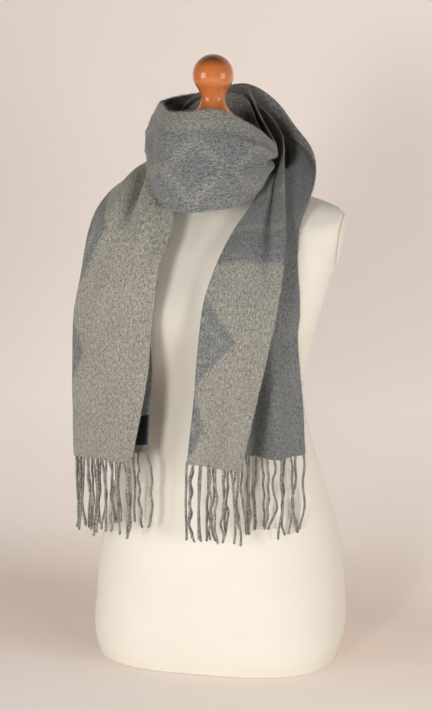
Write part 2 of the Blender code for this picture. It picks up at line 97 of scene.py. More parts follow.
def plain_material(name):
    """A material with a Principled shader, given back with its nodes, links and that shader."""
    made = bpy.data.materials.new(name)
    made.use_nodes = True
    nodes, links = made.node_tree.nodes, made.node_tree.links
    return made, nodes, links, nodes["Principled BSDF"]


def ramp(nodes, links, value, stops):
    """The colour of a value on a ramp of stops, each a place and a colour."""
    made = nodes.new("ShaderNodeValToRGB")
    while len(made.color_ramp.elements) < len(stops):
        made.color_ramp.elements.new(0.5)
    for element, (place, colour) in zip(made.color_ramp.elements, stops):
        element.position = place
        element.color = (*colour, 1)
    links.new(value, made.inputs["Fac"])
    return made.outputs["Color"]


BACKDROP_FRONT, BACKDROP_BACK, BACKDROP_TOP = -2.6, 0.95, 3.4
BACKDROP_BEND = 0.75
BACKDROP_HALF = 3.5

# Painted shade and light on the paper, from just before the form back to the wall: darker on the floor just
# behind the form, lighter up the bend and darker again on the upright wall; each a share of that way and a
# colour
PAPER_SHADING_FROM = -0.6
PAPER_SHADING = (
    (0.0, (0.78, 0.72, 0.67)), (0.25, (0.76, 0.70, 0.645)), (0.41, (0.70, 0.605, 0.54)),
    (0.56, (0.76, 0.67, 0.60)), (0.68, (0.86, 0.78, 0.715)), (0.86, (0.84, 0.77, 0.735)),
    (1.0, (0.68, 0.61, 0.57)),
)


def backdrop_surface(steps):
    """A flat floor, a quarter circle and an upright wall in one profile, carried along X."""
    turn = np.linspace(0, math.pi / 2, steps)
    bend_y = BACKDROP_BACK - BACKDROP_BEND + BACKDROP_BEND * np.sin(turn)
    bend_z = BACKDROP_BEND * (1 - np.cos(turn))
    floor_y = np.linspace(BACKDROP_FRONT, bend_y[0], 12)[:-1]
    wall_z = np.linspace(bend_z[-1], BACKDROP_TOP, 8)[1:]
    along = np.concatenate([floor_y, bend_y, np.full(len(wall_z), BACKDROP_BACK)])
    up = np.concatenate([np.zeros(len(floor_y)), bend_z, wall_z])
    across = np.linspace(-BACKDROP_HALF, BACKDROP_HALF, 9)
    return np.stack(np.broadcast_arrays(across[None, :], along[:, None], up[:, None]), axis=-1)


def backdrop_material():
    """Matt warm white paper, with painted shade and light: darker on the floor just behind the form, lighter
    up the bend and darker again on the upright wall. Its back is clear, so that the form is also seen from
    behind."""
    made, nodes, links, shader = plain_material("backdrop paper")
    place = nodes.new("ShaderNodeTexCoord")
    split = nodes.new("ShaderNodeSeparateXYZ")
    links.new(place.outputs["Object"], split.inputs[0])
    depth = nodes.new("ShaderNodeMapRange")
    depth.inputs["From Min"].default_value = PAPER_SHADING_FROM
    depth.inputs["From Max"].default_value = BACKDROP_BACK
    links.new(split.outputs["Y"], depth.inputs["Value"])
    # Painted shade and light: the paper's colour follows how far back it lies
    links.new(ramp(nodes, links, depth.outputs["Result"], PAPER_SHADING), shader.inputs["Base Color"])
    shader.inputs["Roughness"].default_value = 0.9
    clear = nodes.new("ShaderNodeBsdfTransparent")
    side = nodes.new("ShaderNodeNewGeometry")
    either = nodes.new("ShaderNodeMixShader")
    links.new(side.outputs["Backfacing"], either.inputs[0])
    links.new(shader.outputs[0], either.inputs[1])
    links.new(clear.outputs[0], either.inputs[2])
    links.new(either.outputs[0], nodes["Material Output"].inputs["Surface"])
    return made


backdrop_points = backdrop_surface(24)
backdrop = new_piece("backdrop", backdrop_points, grid_faces(*backdrop_points.shape[:2]),
                     [backdrop_material()])

FLOOR_HALF = 8
FLOOR_UP = -0.004
floor_corners = [(x * FLOOR_HALF, y * FLOOR_HALF, FLOOR_UP) for x, y in ((-1, -1), (1, -1), (1, 1), (-1, 1))]
room_floor = new_piece("room_floor", floor_corners, [(0, 1, 2, 3)], [backdrop.data.materials[0]])

LAMP_WHITE = (1.0, 0.985, 0.965)

# Each: degrees from the camera towards the form's left, distance, height, size, power, the height that it
# looks at, and whether varnish shows it
SOFT_LIGHTS = (
    ("softbox left", -56, 2.0, 0.80, (0.9, 0.9), 13.5, 0.60, True),
    ("softbox right", 57, 2.0, 0.72, (0.9, 0.9), 9.5, 0.55, True),
    ("fill left", -24, 3.0, 0.90, (0.6, 0.8), 38, 0.60, False),
    ("fill right", 30, 2.8, 0.80, (0.7, 0.8), 22, 0.60, False),
)


def soft_light(name, turn, distance, height, size, power, aim_height, shines):
    """A broad light on a circle round the form's axis, which it looks at."""
    data = bpy.data.lights.new(name, "AREA")
    data.shape = "RECTANGLE"
    data.size, data.size_y = size
    data.energy = power
    data.color = LAMP_WHITE
    light = bpy.data.objects.new(name, data)
    angle = CAMERA_TURN + math.radians(turn)
    light.location = (math.sin(angle) * distance, -math.cos(angle) * distance, height)
    fall = math.atan2(height - aim_height, distance)
    light.rotation_euler = (math.pi / 2 - fall, 0, angle)
    light.visible_glossy = shines
    bpy.context.collection.objects.link(light)


for light_row in SOFT_LIGHTS:
    soft_light(*light_row)

# The backdrop's own lamp neither lights nor is shaded by anything else
paper_only = bpy.data.collections.new("lit by the paper lamp")
paper_only.objects.link(backdrop)
paper_lamp = bpy.data.lights.new("paper lamp", "AREA")
paper_lamp.size = 1.6
paper_lamp.energy = 36
paper_lamp.color = (1.0, 0.97, 0.94)
paper_light = bpy.data.objects.new("paper lamp", paper_lamp)
paper_light.location = (0.5, -2.2, 2.4)
paper_light.rotation_euler = (math.radians(58), 0, math.radians(8))
paper_light.light_linking.receiver_collection = paper_only
paper_light.light_linking.blocker_collection = paper_only
bpy.context.collection.objects.link(paper_light)

# The room is dim, but pale where the camera sees it past the backdrop
ROOM_LIGHT, ROOM_SEEN = 0.01, 0.72
world = bpy.data.worlds.new("room")
bpy.context.scene.world = world
world.use_nodes = True
room_nodes, room_links = world.node_tree.nodes, world.node_tree.links
room_ray = room_nodes.new("ShaderNodeLightPath")
room_level = room_nodes.new("ShaderNodeMapRange")
room_level.inputs["To Min"].default_value = ROOM_LIGHT
room_level.inputs["To Max"].default_value = ROOM_SEEN
room_links.new(room_ray.outputs["Is Camera Ray"], room_level.inputs["Value"])
room_links.new(room_level.outputs["Result"], room_nodes["Background"].inputs["Strength"])
room_nodes["Background"].inputs["Color"].default_value = (0.90, 0.785, 0.715, 1)


# ================================================================ the torso
# A padded display torso without arms or legs, covered in smooth cream jersey that is sewn along the
# shoulders, down the back and round the armholes. It stands on its own flat base.

FORM_HEIGHT = 0.832
ARMHOLE_AT = 0.183
ARMHOLE_UP = 0.658
ARMHOLE_BACK = 0.020
ARMHOLE_TILT = math.radians(8)
ARMHOLE_FOOT = 0.560

# Sections, mm: up, half width, front depth, back depth, shift back, squareness
FORM_SECTIONS = (
    ("base", 0, 182, 140, 110, 26, 3.0),
    ("base edge", 2, 186, 144, 114, 26, 3.0),
    ("base side", 7, 188, 146, 116, 26, 3.0),
    ("hips", 110, 194, 146, 120, 28, 2.6),
    ("upper hips", 200, 184, 135, 112, 25, 2.3),
    ("belly", 283, 162, 116, 100, 14, 2.25),
    ("high belly", 360, 142, 98, 88, 3, 2.2),
    ("waist", 433, 131, 87, 80, -4, 2.2),
    ("ribs", 499, 145, 96, 86, -8, 2.2),
    ("bust", 555, 160, 104, 94, -10, 2.2),
    ("chest", 610, 175, 112, 84, 2, 2.2),
    ("armhole", 655, 188, 110, 68, 14, 2.2),
    ("shoulder end", 688, 193, 88, 52, 16, 2.1),
    ("shoulder tip", 706, 178, 70, 42, 16, 2.0),
    ("shoulder", 720, 142, 56, 44, 12, 1.9),
    ("shoulder root", 734, 98, 50, 56, -6, 1.9),
    ("neck base", 752, 68, 54, 54, -22, 2.0),
    ("neck", 780, 57, 54, 54, -32, 2.0),
    ("neck top", 826, 54, 53, 53, -35, 2.0),
    ("neck edge", 832, 51, 50, 50, -35, 2.0),
)
BUST_AT = (0.078, 0.548)
BUST_SPREAD = (0.058, 0.060)
BUST_DEPTH = 0.026
SEAM_DEPTH = 0.0007
SEAM_HALF = 0.0011
SEAM_FADE = 0.02
SHOULDER_SEAM = (0.700, 0.790)
SHOULDER_SEAM_AHEAD = 0.004
BACK_SEAM_TOP = 0.80

FORM_UP = np.array([row[1] for row in FORM_SECTIONS]) * MM
FORM_SHAPE = np.array([row[2:] for row in FORM_SECTIONS]) * (MM, MM, MM, MM, 1)


def smooth_columns(knots, columns, at):
    """Columns read off a smooth curve through the rows: cubic pieces whose slope at each row is that of the
    two pieces beside it, weighted by their lengths."""
    knots = np.asarray(knots, float)
    columns = np.asarray(columns, float)
    steps = np.diff(knots)
    chords = np.diff(columns, axis=0) / steps[:, None]
    slopes = np.empty_like(columns)
    slopes[0] = chords[0]
    slopes[-1] = chords[-1]
    weighted = chords[:-1] * steps[1:, None] + chords[1:] * steps[:-1, None]
    slopes[1:-1] = weighted / (steps[:-1] + steps[1:])[:, None]
    at = np.clip(np.asarray(at, float), knots[0], knots[-1])
    piece = np.clip(np.searchsorted(knots, at, side="right") - 1, 0, len(steps) - 1)
    step = steps[piece][..., None]
    part = (at - knots[piece])[..., None] / step
    rise = part * part * (3 - 2 * part)
    leave = part * (1 - part) ** 2 * step
    arrive = -part * part * (1 - part) * step
    return (columns[piece] * (1 - rise) + columns[piece + 1] * rise
            + slopes[piece] * leave + slopes[piece + 1] * arrive)


def form_depth(across, up, front):
    """Front depth of the torso: the section's depth and a soft mound on each side of the chest."""
    aside = (np.abs(across) - BUST_AT[0]) / BUST_SPREAD[0]
    above = (up - BUST_AT[1]) / BUST_SPREAD[1]
    return front + BUST_DEPTH * np.exp(-aside ** 2 - above ** 2)


def form_surface(up, turn):
    """Superellipse sections, a ring for each height, flattened at the armholes, with a narrow groove along
    the shoulder seams and the back seam."""
    up = up[:, None]
    shape = smooth_columns(FORM_UP, FORM_SHAPE, up[:, 0])[:, :, None]
    half_width, front, back, shift, squareness = (shape[:, k] for k in range(5))
    turn = turn[None, :]
    power = 2 / squareness
    across = half_width * np.sign(np.cos(turn)) * np.abs(np.cos(turn)) ** power
    depth = np.where(np.sin(turn) < 0, form_depth(across, up, front), back)
    along = shift + depth * np.sign(np.sin(turn)) * np.abs(np.sin(turn)) ** power
    flat = ARMHOLE_AT + (up - ARMHOLE_UP) * math.tan(ARMHOLE_TILT)
    limit = np.where(up > ARMHOLE_FOOT, flat, half_width)
    across = np.clip(across, -limit, limit)
    on_shoulder = (np.clip((up - SHOULDER_SEAM[0]) / (0.2 * SEAM_FADE), 0, 1)
                   * np.clip((SHOULDER_SEAM[1] - up) / SEAM_FADE, 0, 1))
    shoulder_seam = on_shoulder * np.exp(-((along - shift + SHOULDER_SEAM_AHEAD) / SEAM_HALF) ** 2)
    on_back = (along > shift) * np.clip((BACK_SEAM_TOP - up) / SEAM_FADE, 0, 1)
    back_seam = on_back * np.exp(-(across / SEAM_HALF) ** 2)
    along = along - SEAM_DEPTH * back_seam
    up = up - SEAM_DEPTH * shoulder_seam
    return np.stack(np.broadcast_arrays(across, along, up), axis=-1)


def drawn_noise(nodes, links, place, scales, detail, roughness=0.5, distortion=0.0, shift=(0, 0, 0)):
    """Noise at a place, with a scale of its own along each axis."""
    stretch = nodes.new("ShaderNodeMapping")
    stretch.inputs["Location"].default_value = shift
    stretch.inputs["Scale"].default_value = scales
    links.new(place, stretch.inputs["Vector"])
    noise = nodes.new("ShaderNodeTexNoise")
    noise.inputs["Scale"].default_value = 1.0
    noise.inputs["Detail"].default_value = detail
    noise.inputs["Roughness"].default_value = roughness
    noise.inputs["Distortion"].default_value = distortion
    links.new(stretch.outputs["Vector"], noise.inputs["Vector"])
    return noise.outputs["Fac"]


def raise_surface(nodes, links, shader, height, strength, distance):
    """A bump by a height, fed to the shader's normal."""
    bump = nodes.new("ShaderNodeBump")
    bump.inputs["Strength"].default_value = strength
    bump.inputs["Distance"].default_value = distance
    links.new(height, bump.inputs["Height"])
    links.new(bump.outputs["Normal"], shader.inputs["Normal"])


def jersey_material():
    """Smooth cream cotton jersey: a fine knit that shows as rows of tiny stitches, and a soft sheen."""
    made, nodes, links, shader = plain_material("cream jersey")
    place = nodes.new("ShaderNodeTexCoord").outputs["Object"]
    knit = drawn_noise(nodes, links, place, (1400, 1400, 900), 1.5)
    soft = drawn_noise(nodes, links, place, (9, 9, 9), 3.0)
    tone = ramp(nodes, links, soft, ((0.3, (0.79, 0.745, 0.655)), (0.7, (0.82, 0.778, 0.695))))
    links.new(tone, shader.inputs["Base Color"])
    raise_surface(nodes, links, shader, knit, 0.25, 0.0003)
    shader.inputs["Roughness"].default_value = 0.72
    shader.inputs["Specular IOR Level"].default_value = 0.25
    shader.inputs["Sheen Weight"].default_value = 0.15
    shader.inputs["Sheen Roughness"].default_value = 0.4
    return made


def seam_turns():
    """Ring angles: an even round, with closer ones where a seam's groove runs."""
    even = np.linspace(0, 2 * math.pi, 200, endpoint=False)
    shoulder = np.linspace(-0.16, 0.04, 21)
    back = math.pi / 2 + np.linspace(-0.03, 0.03, 11)
    turns = np.concatenate([even, shoulder, math.pi - shoulder, back]) % (2 * math.pi)
    turns = np.unique(np.round(turns, 5))
    return turns[np.concatenate([[True], np.diff(turns) > 0.0015])]


def closed_ends(grid):
    """A ring grid closed at both ends by rings drawn in to the middle of the first and the last one."""
    shares = np.array([0, 0.35, 0.7])[:, None, None]
    first, last = grid[:1].mean(axis=1, keepdims=True), grid[-1:].mean(axis=1, keepdims=True)
    foot = first + (grid[:1] - first) * shares
    top = last + (grid[-1:] - last) * shares[::-1]
    return np.concatenate([foot, grid, top])


def welded(piece, distance=0.00002):
    """The piece with the points of its poles and doubled seams joined, and its faces turned outwards."""
    shell = bmesh.new()
    shell.from_mesh(piece.data)
    bmesh.ops.remove_doubles(shell, verts=shell.verts, dist=distance)
    bmesh.ops.recalc_face_normals(shell, faces=shell.faces)
    shell.to_mesh(piece.data)
    shell.free()
    return piece


jersey = jersey_material()
form_heights = np.unique(np.concatenate([
    np.linspace(0, 0.012, 9), np.linspace(0.012, 0.66, 110), np.linspace(0.66, 0.76, 80),
    np.linspace(0.76, FORM_HEIGHT, 24)]))
torso_points = closed_ends(form_surface(form_heights, seam_turns()))
torso = new_piece("torso_jersey", torso_points, grid_faces(*torso_points.shape[:2], closed=True), [jersey])
welded(torso)
torso.data.set_sharp_from_angle(angle=math.radians(60))
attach(torso, "root")
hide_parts("form_torso")


# ================================================================ the armhole plates
# Flat oval boards that close the armholes, covered in the same jersey, which is drawn over their edge.
# Each is pressed onto the flattened shoulder end, its foot leaning in.

PLATE_THICKNESS = 0.003
PLATE_TALL = 0.038
PLATE_DEEP = 0.025
PLATE_GAP = 0.0003
PLATE_RIM_SHARE = 0.35


def plate_surface(side, rings, turns):
    """An oval dome: the rise falls from the middle to the rim as the fourth power of the reach, and the
    rim turns in to a flat back."""
    reach = np.concatenate([np.linspace(0, 1, rings), [1.0, 0.97, 0.5, 0.0]])[:, None]
    dome = PLATE_RIM_SHARE + (1 - PLATE_RIM_SHARE) * (1 - np.linspace(0, 1, rings) ** 4)
    rise = np.concatenate([PLATE_THICKNESS * dome, [0.0004, 0, 0, 0]])[:, None]
    turn = np.linspace(0, 2 * math.pi, turns, endpoint=False)[None, :]
    deep, tall = reach * PLATE_DEEP * np.cos(turn), reach * PLATE_TALL * np.sin(turn)
    stand = PLATE_GAP + rise
    tilt_cos, tilt_sin = math.cos(ARMHOLE_TILT), math.sin(ARMHOLE_TILT)
    across = side * (ARMHOLE_AT + stand * tilt_cos + tall * tilt_sin)
    up = ARMHOLE_UP + tall * tilt_cos - stand * tilt_sin
    return np.stack(np.broadcast_arrays(across, ARMHOLE_BACK + deep, up), axis=-1)


for plate_side, plate_name in ((1, "armhole_plate_left"), (-1, "armhole_plate_right")):
    plate_points = plate_surface(plate_side, 14, 96)
    plate = new_piece(plate_name + "_cover", plate_points,
                      grid_faces(*plate_points.shape[:2], closed=True), [jersey])
    welded(plate)
    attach(plate, "root")
    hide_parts(plate_name)


# ================================================================ the neck knob
# One piece of turned wood: a ball with a flattened crown, a hollow waist and a flared foot, stained orange
# brown and varnished. It is screwed down onto the neck.

KNOB_BACK = -0.035
KNOB_SEAT = FORM_HEIGHT + 0.0003
BALL_RADIUS = 0.0300
BALL_UP = 0.0688
BALL_ARC = 125
# The crown's painted shade starts this share of the ball's radius above the ball's middle
CROWN_SHADE_FROM = 0.35
WAIST_RADIUS = 0.0180
FLANGE_RADIUS = 0.0385

# Below the ball, radius and height above the seat, metres
KNOB_FOOT = (
    (0.0232, 0.0500), (0.0204, 0.0445), (WAIST_RADIUS + 0.0006, 0.0393), (WAIST_RADIUS, 0.0345),
    (0.0188, 0.0290), (0.0222, 0.0217), (0.0283, 0.0142), (0.0343, 0.0088), (0.0376, 0.0062),
    (FLANGE_RADIUS, 0.0042), (FLANGE_RADIUS, 0.0014), (FLANGE_RADIUS - 0.001, 0.0),
)


def knob_surface(steps, turns):
    """A profile spun round the upright axis: the ball's arc down to its neck, then a smooth curve through
    the foot's points, closed on the axis at both ends."""
    arc = np.radians(np.linspace(0, BALL_ARC, 48))
    ball = np.stack([BALL_RADIUS * np.sin(arc), BALL_UP + BALL_RADIUS * np.cos(arc)], axis=-1)
    points = np.concatenate([ball, KNOB_FOOT])
    places = np.concatenate([[0], np.cumsum(np.linalg.norm(np.diff(points, axis=0), axis=1))])
    profile = smooth_columns(places, points, np.linspace(0, places[-1], steps))
    profile = np.concatenate([profile, [[0, 0]]])
    turn = np.linspace(0, 2 * math.pi, turns, endpoint=False)[None, :]
    radius, up = profile[:, :1], profile[:, 1:] + KNOB_SEAT
    across, along = radius * np.cos(turn), KNOB_BACK + radius * np.sin(turn)
    return np.stack(np.broadcast_arrays(across, along, up), axis=-1)


def wood_material():
    """Straight grain that runs up the knob, painted darker towards its crown as painted shade for the dim
    room that the crown would reflect, under a clear glossy varnish.
    """
    made, nodes, links, shader = plain_material("varnished wood")
    place = nodes.new("ShaderNodeTexCoord").outputs["Object"]
    grain = drawn_noise(nodes, links, place, (190, 80, 30), 4.0, distortion=0.6, shift=(0.004, 0.02, 0))
    tone = ramp(nodes, links, grain, ((0.30, (0.555, 0.158, 0.042)), (0.5, (0.60, 0.180, 0.050)),
                                      (0.72, (0.63, 0.200, 0.060))))
    split = nodes.new("ShaderNodeSeparateXYZ")
    links.new(place, split.inputs[0])
    # Painted shade: over the crown the colour is mixed towards a near black brown
    crown = nodes.new("ShaderNodeMapRange")
    crown.interpolation_type = "SMOOTHSTEP"
    crown.inputs["From Min"].default_value = KNOB_SEAT + BALL_UP + CROWN_SHADE_FROM * BALL_RADIUS
    crown.inputs["From Max"].default_value = KNOB_SEAT + BALL_UP + BALL_RADIUS
    crown.inputs["To Max"].default_value = 0.95
    links.new(split.outputs["Z"], crown.inputs["Value"])
    mix = nodes.new("ShaderNodeMix")
    mix.data_type = "RGBA"
    mix.inputs[7].default_value = (0.085, 0.024, 0.010, 1)
    links.new(crown.outputs["Result"], mix.inputs[0])
    links.new(tone, mix.inputs[6])
    links.new(mix.outputs[2], shader.inputs["Base Color"])
    raise_surface(nodes, links, shader, grain, 0.08, 0.0003)
    shader.inputs["Roughness"].default_value = 0.38
    shader.inputs["Specular IOR Level"].default_value = 0.3
    shader.inputs["Coat Weight"].default_value = 1.0
    shader.inputs["Coat Roughness"].default_value = 0.12
    return made


knob_points = knob_surface(120, 96)
knob = new_piece("turned_knob", knob_points, grid_faces(*knob_points.shape[:2], closed=True),
                 [wood_material()])
welded(knob)
knob.data.set_sharp_from_angle(angle=math.radians(55))
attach(knob, "root")
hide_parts("neck_knob")


# ================================================================ the wound cloth
# One long double-faced cashmere cloth, brushed on both faces, light taupe with blue-grey motifs on one and
# the colours exchanged on the other. It is folded lengthwise, its fold below and both selvedges above, and
# wound one and a half times round the neck; each stretch between the turns is a piece of its own here.

CLOTH_WIDTH = 0.280
CLOTH_THICKNESS = 0.0018
CLOTH_GAP = 0.0003
FOLD_RADIUS = 0.0038
CHORD_ROOM = 0.0017
ROLL_ARC = 0.013
ROLL_LEAST = 0.3
HANG_LEAST = 0.12
LAYER_ROOM = 0.0045
STACK_RAMP = 0.06

# Stations from the left hem to the right hem, mm, as the camera sees them: the fold, the outer layer's top
# line and the inner layer's selvedge, each as right, near, up; then how far the outer selvedge is rolled
# over, and how far each layer swells out.
SCARF_STATIONS = (
    ("left hem", -218, 37, 327, -133, 132, 340, -104, 114, 352, 0, 6, 3),
    ("left shin", -219, 39, 392, -118, 136, 412, -99, 119, 416, 0, 8, 4),
    ("left low", -218, 42, 470, -105, 141, 492, -97, 126, 492, 0, 8, 4),
    ("left middle", -215, 46, 541, -99, 144, 560, -98, 130, 556, 0, 8, 4),
    ("left chest", -200, 50, 622, -88, 139, 640, -90, 126, 636, 0, 12, 6),
    ("left collar", -191, 50, 671, -74, 119, 682, -80, 107, 678, 0, 14, 6),
    ("left slope", -176, 38, 709, -68, 90, 726, -74, 79, 720, 0, 14, 6),
    ("left shoulder", -148, 12, 735, -66, 60, 766, -70, 51, 758, 0, 10, 2),
    ("left ridge", -119, -16, 742, -72, 20, 802, -66, 14, 796, 0, 6, 0),
    ("left nape", -80, -44, 737, -54, -16, 846, -50, -10, 842, 0, 4, 0),
    ("nape", -10, -60, 738, -10, -46, 872, -10, -38, 866, 0, 10, 4),
    ("right nape", 50, -44, 740, 44, -32, 872, 40, -25, 866, 0, 8, 4),
    ("right side", 70, 4, 742, 64, 6, 834, 58, 6, 828, 0, 6, 3),
    ("panel turn", 67, 58, 754, 84, 62, 800, 70, 56, 799, 0, 8, 4),
    ("panel right", 57, 102, 737, 61, 84, 820, 58, 78, 816, 0, 8, 4),
    ("panel near right", 27, 124, 720, 32, 96, 837, 30, 90, 833, 0, 8, 4),
    ("panel middle", -9, 132, 714, -7, 102, 851, -7, 95, 847, 0, 8, 4),
    ("panel near left", -43, 127, 711, -40, 100, 847, -40, 94, 843, 0, 8, 4),
    ("panel left", -76, 108, 717, -71, 80, 846, -69, 75, 843, 0, 10, 4),
    ("panel end", -93, 82, 741, -83, 42, 854, -78, 36, 851, 0, 7, 4),
    ("left turn", -103, 30, 780, -89, -2, 854, -83, -2, 850, 0, 6, 4),
    ("outer left", -103, -36, 777, -78, -46, 857, -73, -39, 853, 0, 7, 4),
    ("outer left nape", -68, -76, 757, -49, -72, 861, -45, -64, 856, 0, 8, 4),
    ("outer nape", -10, -80, 744, -6, -76, 871, -6, -66, 861, 12, 8, 4),
    ("outer right nape", 46, -68, 745, 48, -72, 878, 42, -60, 865, 26, 8, 4),
    ("outer right", 84, -34, 743, 88, -58, 855, 66, -42, 847, 42, 8, 6),
    ("outer shoulder", 99, 10, 748, 117, -30, 817, 83, -12, 832, 28, 4, 5),
    ("right shoulder", 88, 40, 756, 137, 6, 787, 95, 22, 812, 16, 4, 5),
    ("right slope", 67, 67, 744, 141, 42, 757, 97, 58, 777, 5, 5, 3),
    ("right collar", 50, 89, 718, 129, 72, 722, 97, 90, 732, 0, 4, -2),
    ("right chest", 24, 112, 684, 114, 92, 684, 97, 118, 690, 0, 0, -6),
    ("right bust", 4, 140, 650, 111, 104, 647, 95, 146, 652, 0, 0, -8),
    ("right middle", -19, 155, 588, 111, 104, 580, 87, 168, 590, 0, 0, -8),
    ("right low", -29, 158, 512, 113, 100, 505, 72, 172, 514, 0, 0, -8),
    ("right shin", -35, 158, 438, 120, 100, 430, 56, 172, 441, 0, 0, -8),
    ("right hem", -45, 158, 346, 125, 100, 343, 33, 172, 337, 0, 0, -6),
)

# Creases, mm and shares: from station, share across there, to station, share across there, depth out, half
# width. The share is -1 at the outer selvedge, 0 at the fold and 1 at the inner selvedge.
CREASES = (
    ("left collar", -0.52, "left ridge", -0.44, -23, 12),
    ("left collar", 0.52, "left ridge", 0.44, -23, 12),
    ("left chest", -0.76, "left slope", -0.72, 7, 10),
    ("left chest", -0.92, "left ridge", -0.88, -10, 12),
    ("left chest", 0.92, "left ridge", 0.88, -10, 12),
    ("right side", -0.50, "panel right", -0.48, -19, 14),
    ("right side", 0.50, "panel right", 0.48, -19, 14),
    ("right shoulder", 0.45, "right middle", 0.80, 14, 13),
    ("right slope", 0.86, "right middle", 0.99, -7, 12),
    ("right bust", -0.50, "right hem", -0.57, 21, 11),
    ("right chest", -0.71, "right hem", -0.77, -15, 13),
)

# Finer ones, likewise; most of the outer layer's stand out and most of the inner layer's sink in
FINE_CREASES = (
    ("left shin", -0.72, "left middle", -0.58, 1.5, 15),
    ("left low", -0.28, "left chest", -0.42, 1.8, 14),
    ("left middle", 0.40, "left collar", 0.55, -1.6, 14),
    ("left chest", -0.60, "left shoulder", -0.66, 3.2, 8),
    ("left slope", -0.20, "left nape", -0.28, 3.0, 9),
    ("left shoulder", -0.70, "nape", -0.60, 2.4, 8),
    ("left shoulder", 0.30, "nape", 0.42, -2.4, 10),
    ("nape", -0.35, "panel turn", -0.20, 2.4, 11),
    ("nape", 0.55, "panel turn", 0.66, -2.2, 9),
    ("panel right", -0.36, "panel near left", -0.24, 2.4, 10),
    ("panel turn", -0.68, "panel middle", -0.80, 2.6, 9),
    ("panel near right", -0.55, "left turn", -0.62, -1.3, 13),
    ("panel left", -0.30, "outer left nape", -0.42, 2.3, 10),
    ("left turn", -0.72, "outer nape", -0.66, 2.6, 8),
    ("outer left", -0.18, "outer right nape", -0.30, 3.0, 10),
    ("outer nape", -0.52, "outer shoulder", -0.40, 2.8, 9),
    ("outer left nape", 0.35, "outer right", 0.48, -2.2, 10),
    ("right collar", -0.22, "right low", -0.30, 1.7, 14),
    ("right middle", 0.24, "right hem", 0.34, 1.8, 13),
    ("right low", 0.66, "right hem", 0.60, -1.8, 12),
)

STATION_NAMES = [row[0] for row in SCARF_STATIONS]
STATION_SHAPE = np.array([row[1:] for row in SCARF_STATIONS]) * MM
MIDDLES = (STATION_SHAPE[:, 0:3] * 2 + STATION_SHAPE[:, 3:6] + STATION_SHAPE[:, 6:9]) / 4
PLACES = np.concatenate([[0], np.cumsum(np.linalg.norm(np.diff(MIDDLES, axis=0), axis=1))])


def unit(vectors):
    """Vectors cut to a length of one."""
    return vectors / np.maximum(np.linalg.norm(vectors, axis=-1, keepdims=True), 1e-9)


def form_reach(points):
    """How far out a point is, as a share of the torso's own section there: below one is inside."""
    shape = smooth_columns(FORM_UP, FORM_SHAPE, points[..., 2])
    half_width, front, back, shift, squareness = (shape[..., k] for k in range(5))
    behind = points[..., 1] - shift
    depth = np.where(behind < 0, form_depth(points[..., 0], points[..., 2], front), back)
    share = (np.abs(points[..., 0] / half_width) ** squareness + np.abs(behind / depth) ** squareness)
    return share ** (1 / squareness)


def push_clear(points, clearance):
    """Points moved straight out of the torso where they are nearer to it than their clearance."""
    step = 1e-4
    for _ in range(6):
        reach = form_reach(points)
        slope = np.stack([form_reach(points + step * axis) - reach for axis in np.eye(3)], axis=-1) / step
        steep = np.maximum(np.linalg.norm(slope, axis=-1), 1e-6)
        short = np.maximum(clearance - (reach - 1) / steep, 0)
        short = np.where(points[..., 2] < FORM_HEIGHT + clearance, short, 0)
        points = points + unit(slope) * np.minimum(short, 0.01)[..., None]
    return points


def seen_to_part(points):
    """Right, near and up, as the camera sees them, turned into X, Y and Z."""
    return points[..., :1] * view_right + points[..., 1:2] * view_near + points[..., 2:] * (0, 0, 1)


def middle_line(along):
    """The line midway between fold and selvedges."""
    return smooth_columns(PLACES, MIDDLES, along)


def place_of(name):
    """Distance along the cloth of a named station."""
    return PLACES[STATION_NAMES.index(name)]


def layer_points(start, leave, end, steps):
    """A layer from where it leaves the fold to its edge: a cubic that starts along the fold's direction."""
    share = np.asarray(steps)[None, :, None]
    reach = np.linalg.norm(end - start, axis=-1)[:, None, None]
    rise = share * share * (3 - 2 * share)
    leaving = share * (1 - share) ** 2 * reach * leave[:, None]
    arriving = -share * share * (1 - share) * (end - start)[:, None]
    return start[:, None] * (1 - rise) + end[:, None] * rise + leaving + arriving


def rolled_edge(top, upward, out, roll, arc_steps):
    """Points past a layer's top line: round an arc that closes as the roll widens, then one hanging on."""
    arc = np.clip(roll, ROLL_LEAST * ROLL_ARC, ROLL_ARC)
    turn = np.maximum(np.pi * np.minimum(roll / ROLL_ARC, 1), 0.01)
    steps = turn * np.linspace(0, 1, arc_steps + 1)[None, 1:]
    radius = arc / turn
    bent = (top[:, None] + (radius * np.sin(steps))[:, :, None] * upward[:, None]
            - (radius * (1 - np.cos(steps)))[:, :, None] * out[:, None])
    hang = np.maximum(roll - ROLL_ARC, 0) + HANG_LEAST * ROLL_ARC
    heading = np.cos(turn) * upward - np.sin(turn) * out
    hanging = bent[:, -1:] + (hang * heading)[:, None] * np.linspace(0, 1, 4)[None, 1:, None]
    return np.concatenate([bent, hanging], axis=1)


def crease_depth(along, share, creases):
    """Sum of the creases: each a bell across the cloth that rises and dies away along it, or runs out over
    a hem."""
    total = np.zeros(np.broadcast_shapes(along.shape, share.shape))
    for first, first_share, last, last_share, depth, half_width in creases:
        part = (along - place_of(first)) / (place_of(last) - place_of(first))
        inside = np.clip(part, 0, 1)
        middle = first_share + (last_share - first_share) * inside
        across = (share - middle) * CLOTH_WIDTH / 2 / (half_width * MM)
        half_turns = 0.5 if last.endswith("hem") else 1
        rise = np.sin(np.pi * half_turns * inside) ** 1.2
        total = total + depth * MM * rise * np.exp(-across ** 2)
    return total


# Radians for each metre along and across, start, height in mm
RIPPLES = ((61, 17, 0.3, 0.34), (23, 71, 1.9, 0.26), (97, -41, 4.1, 0.20), (39, 113, 2.7, 0.12),
           (151, 59, 5.2, 0.08))


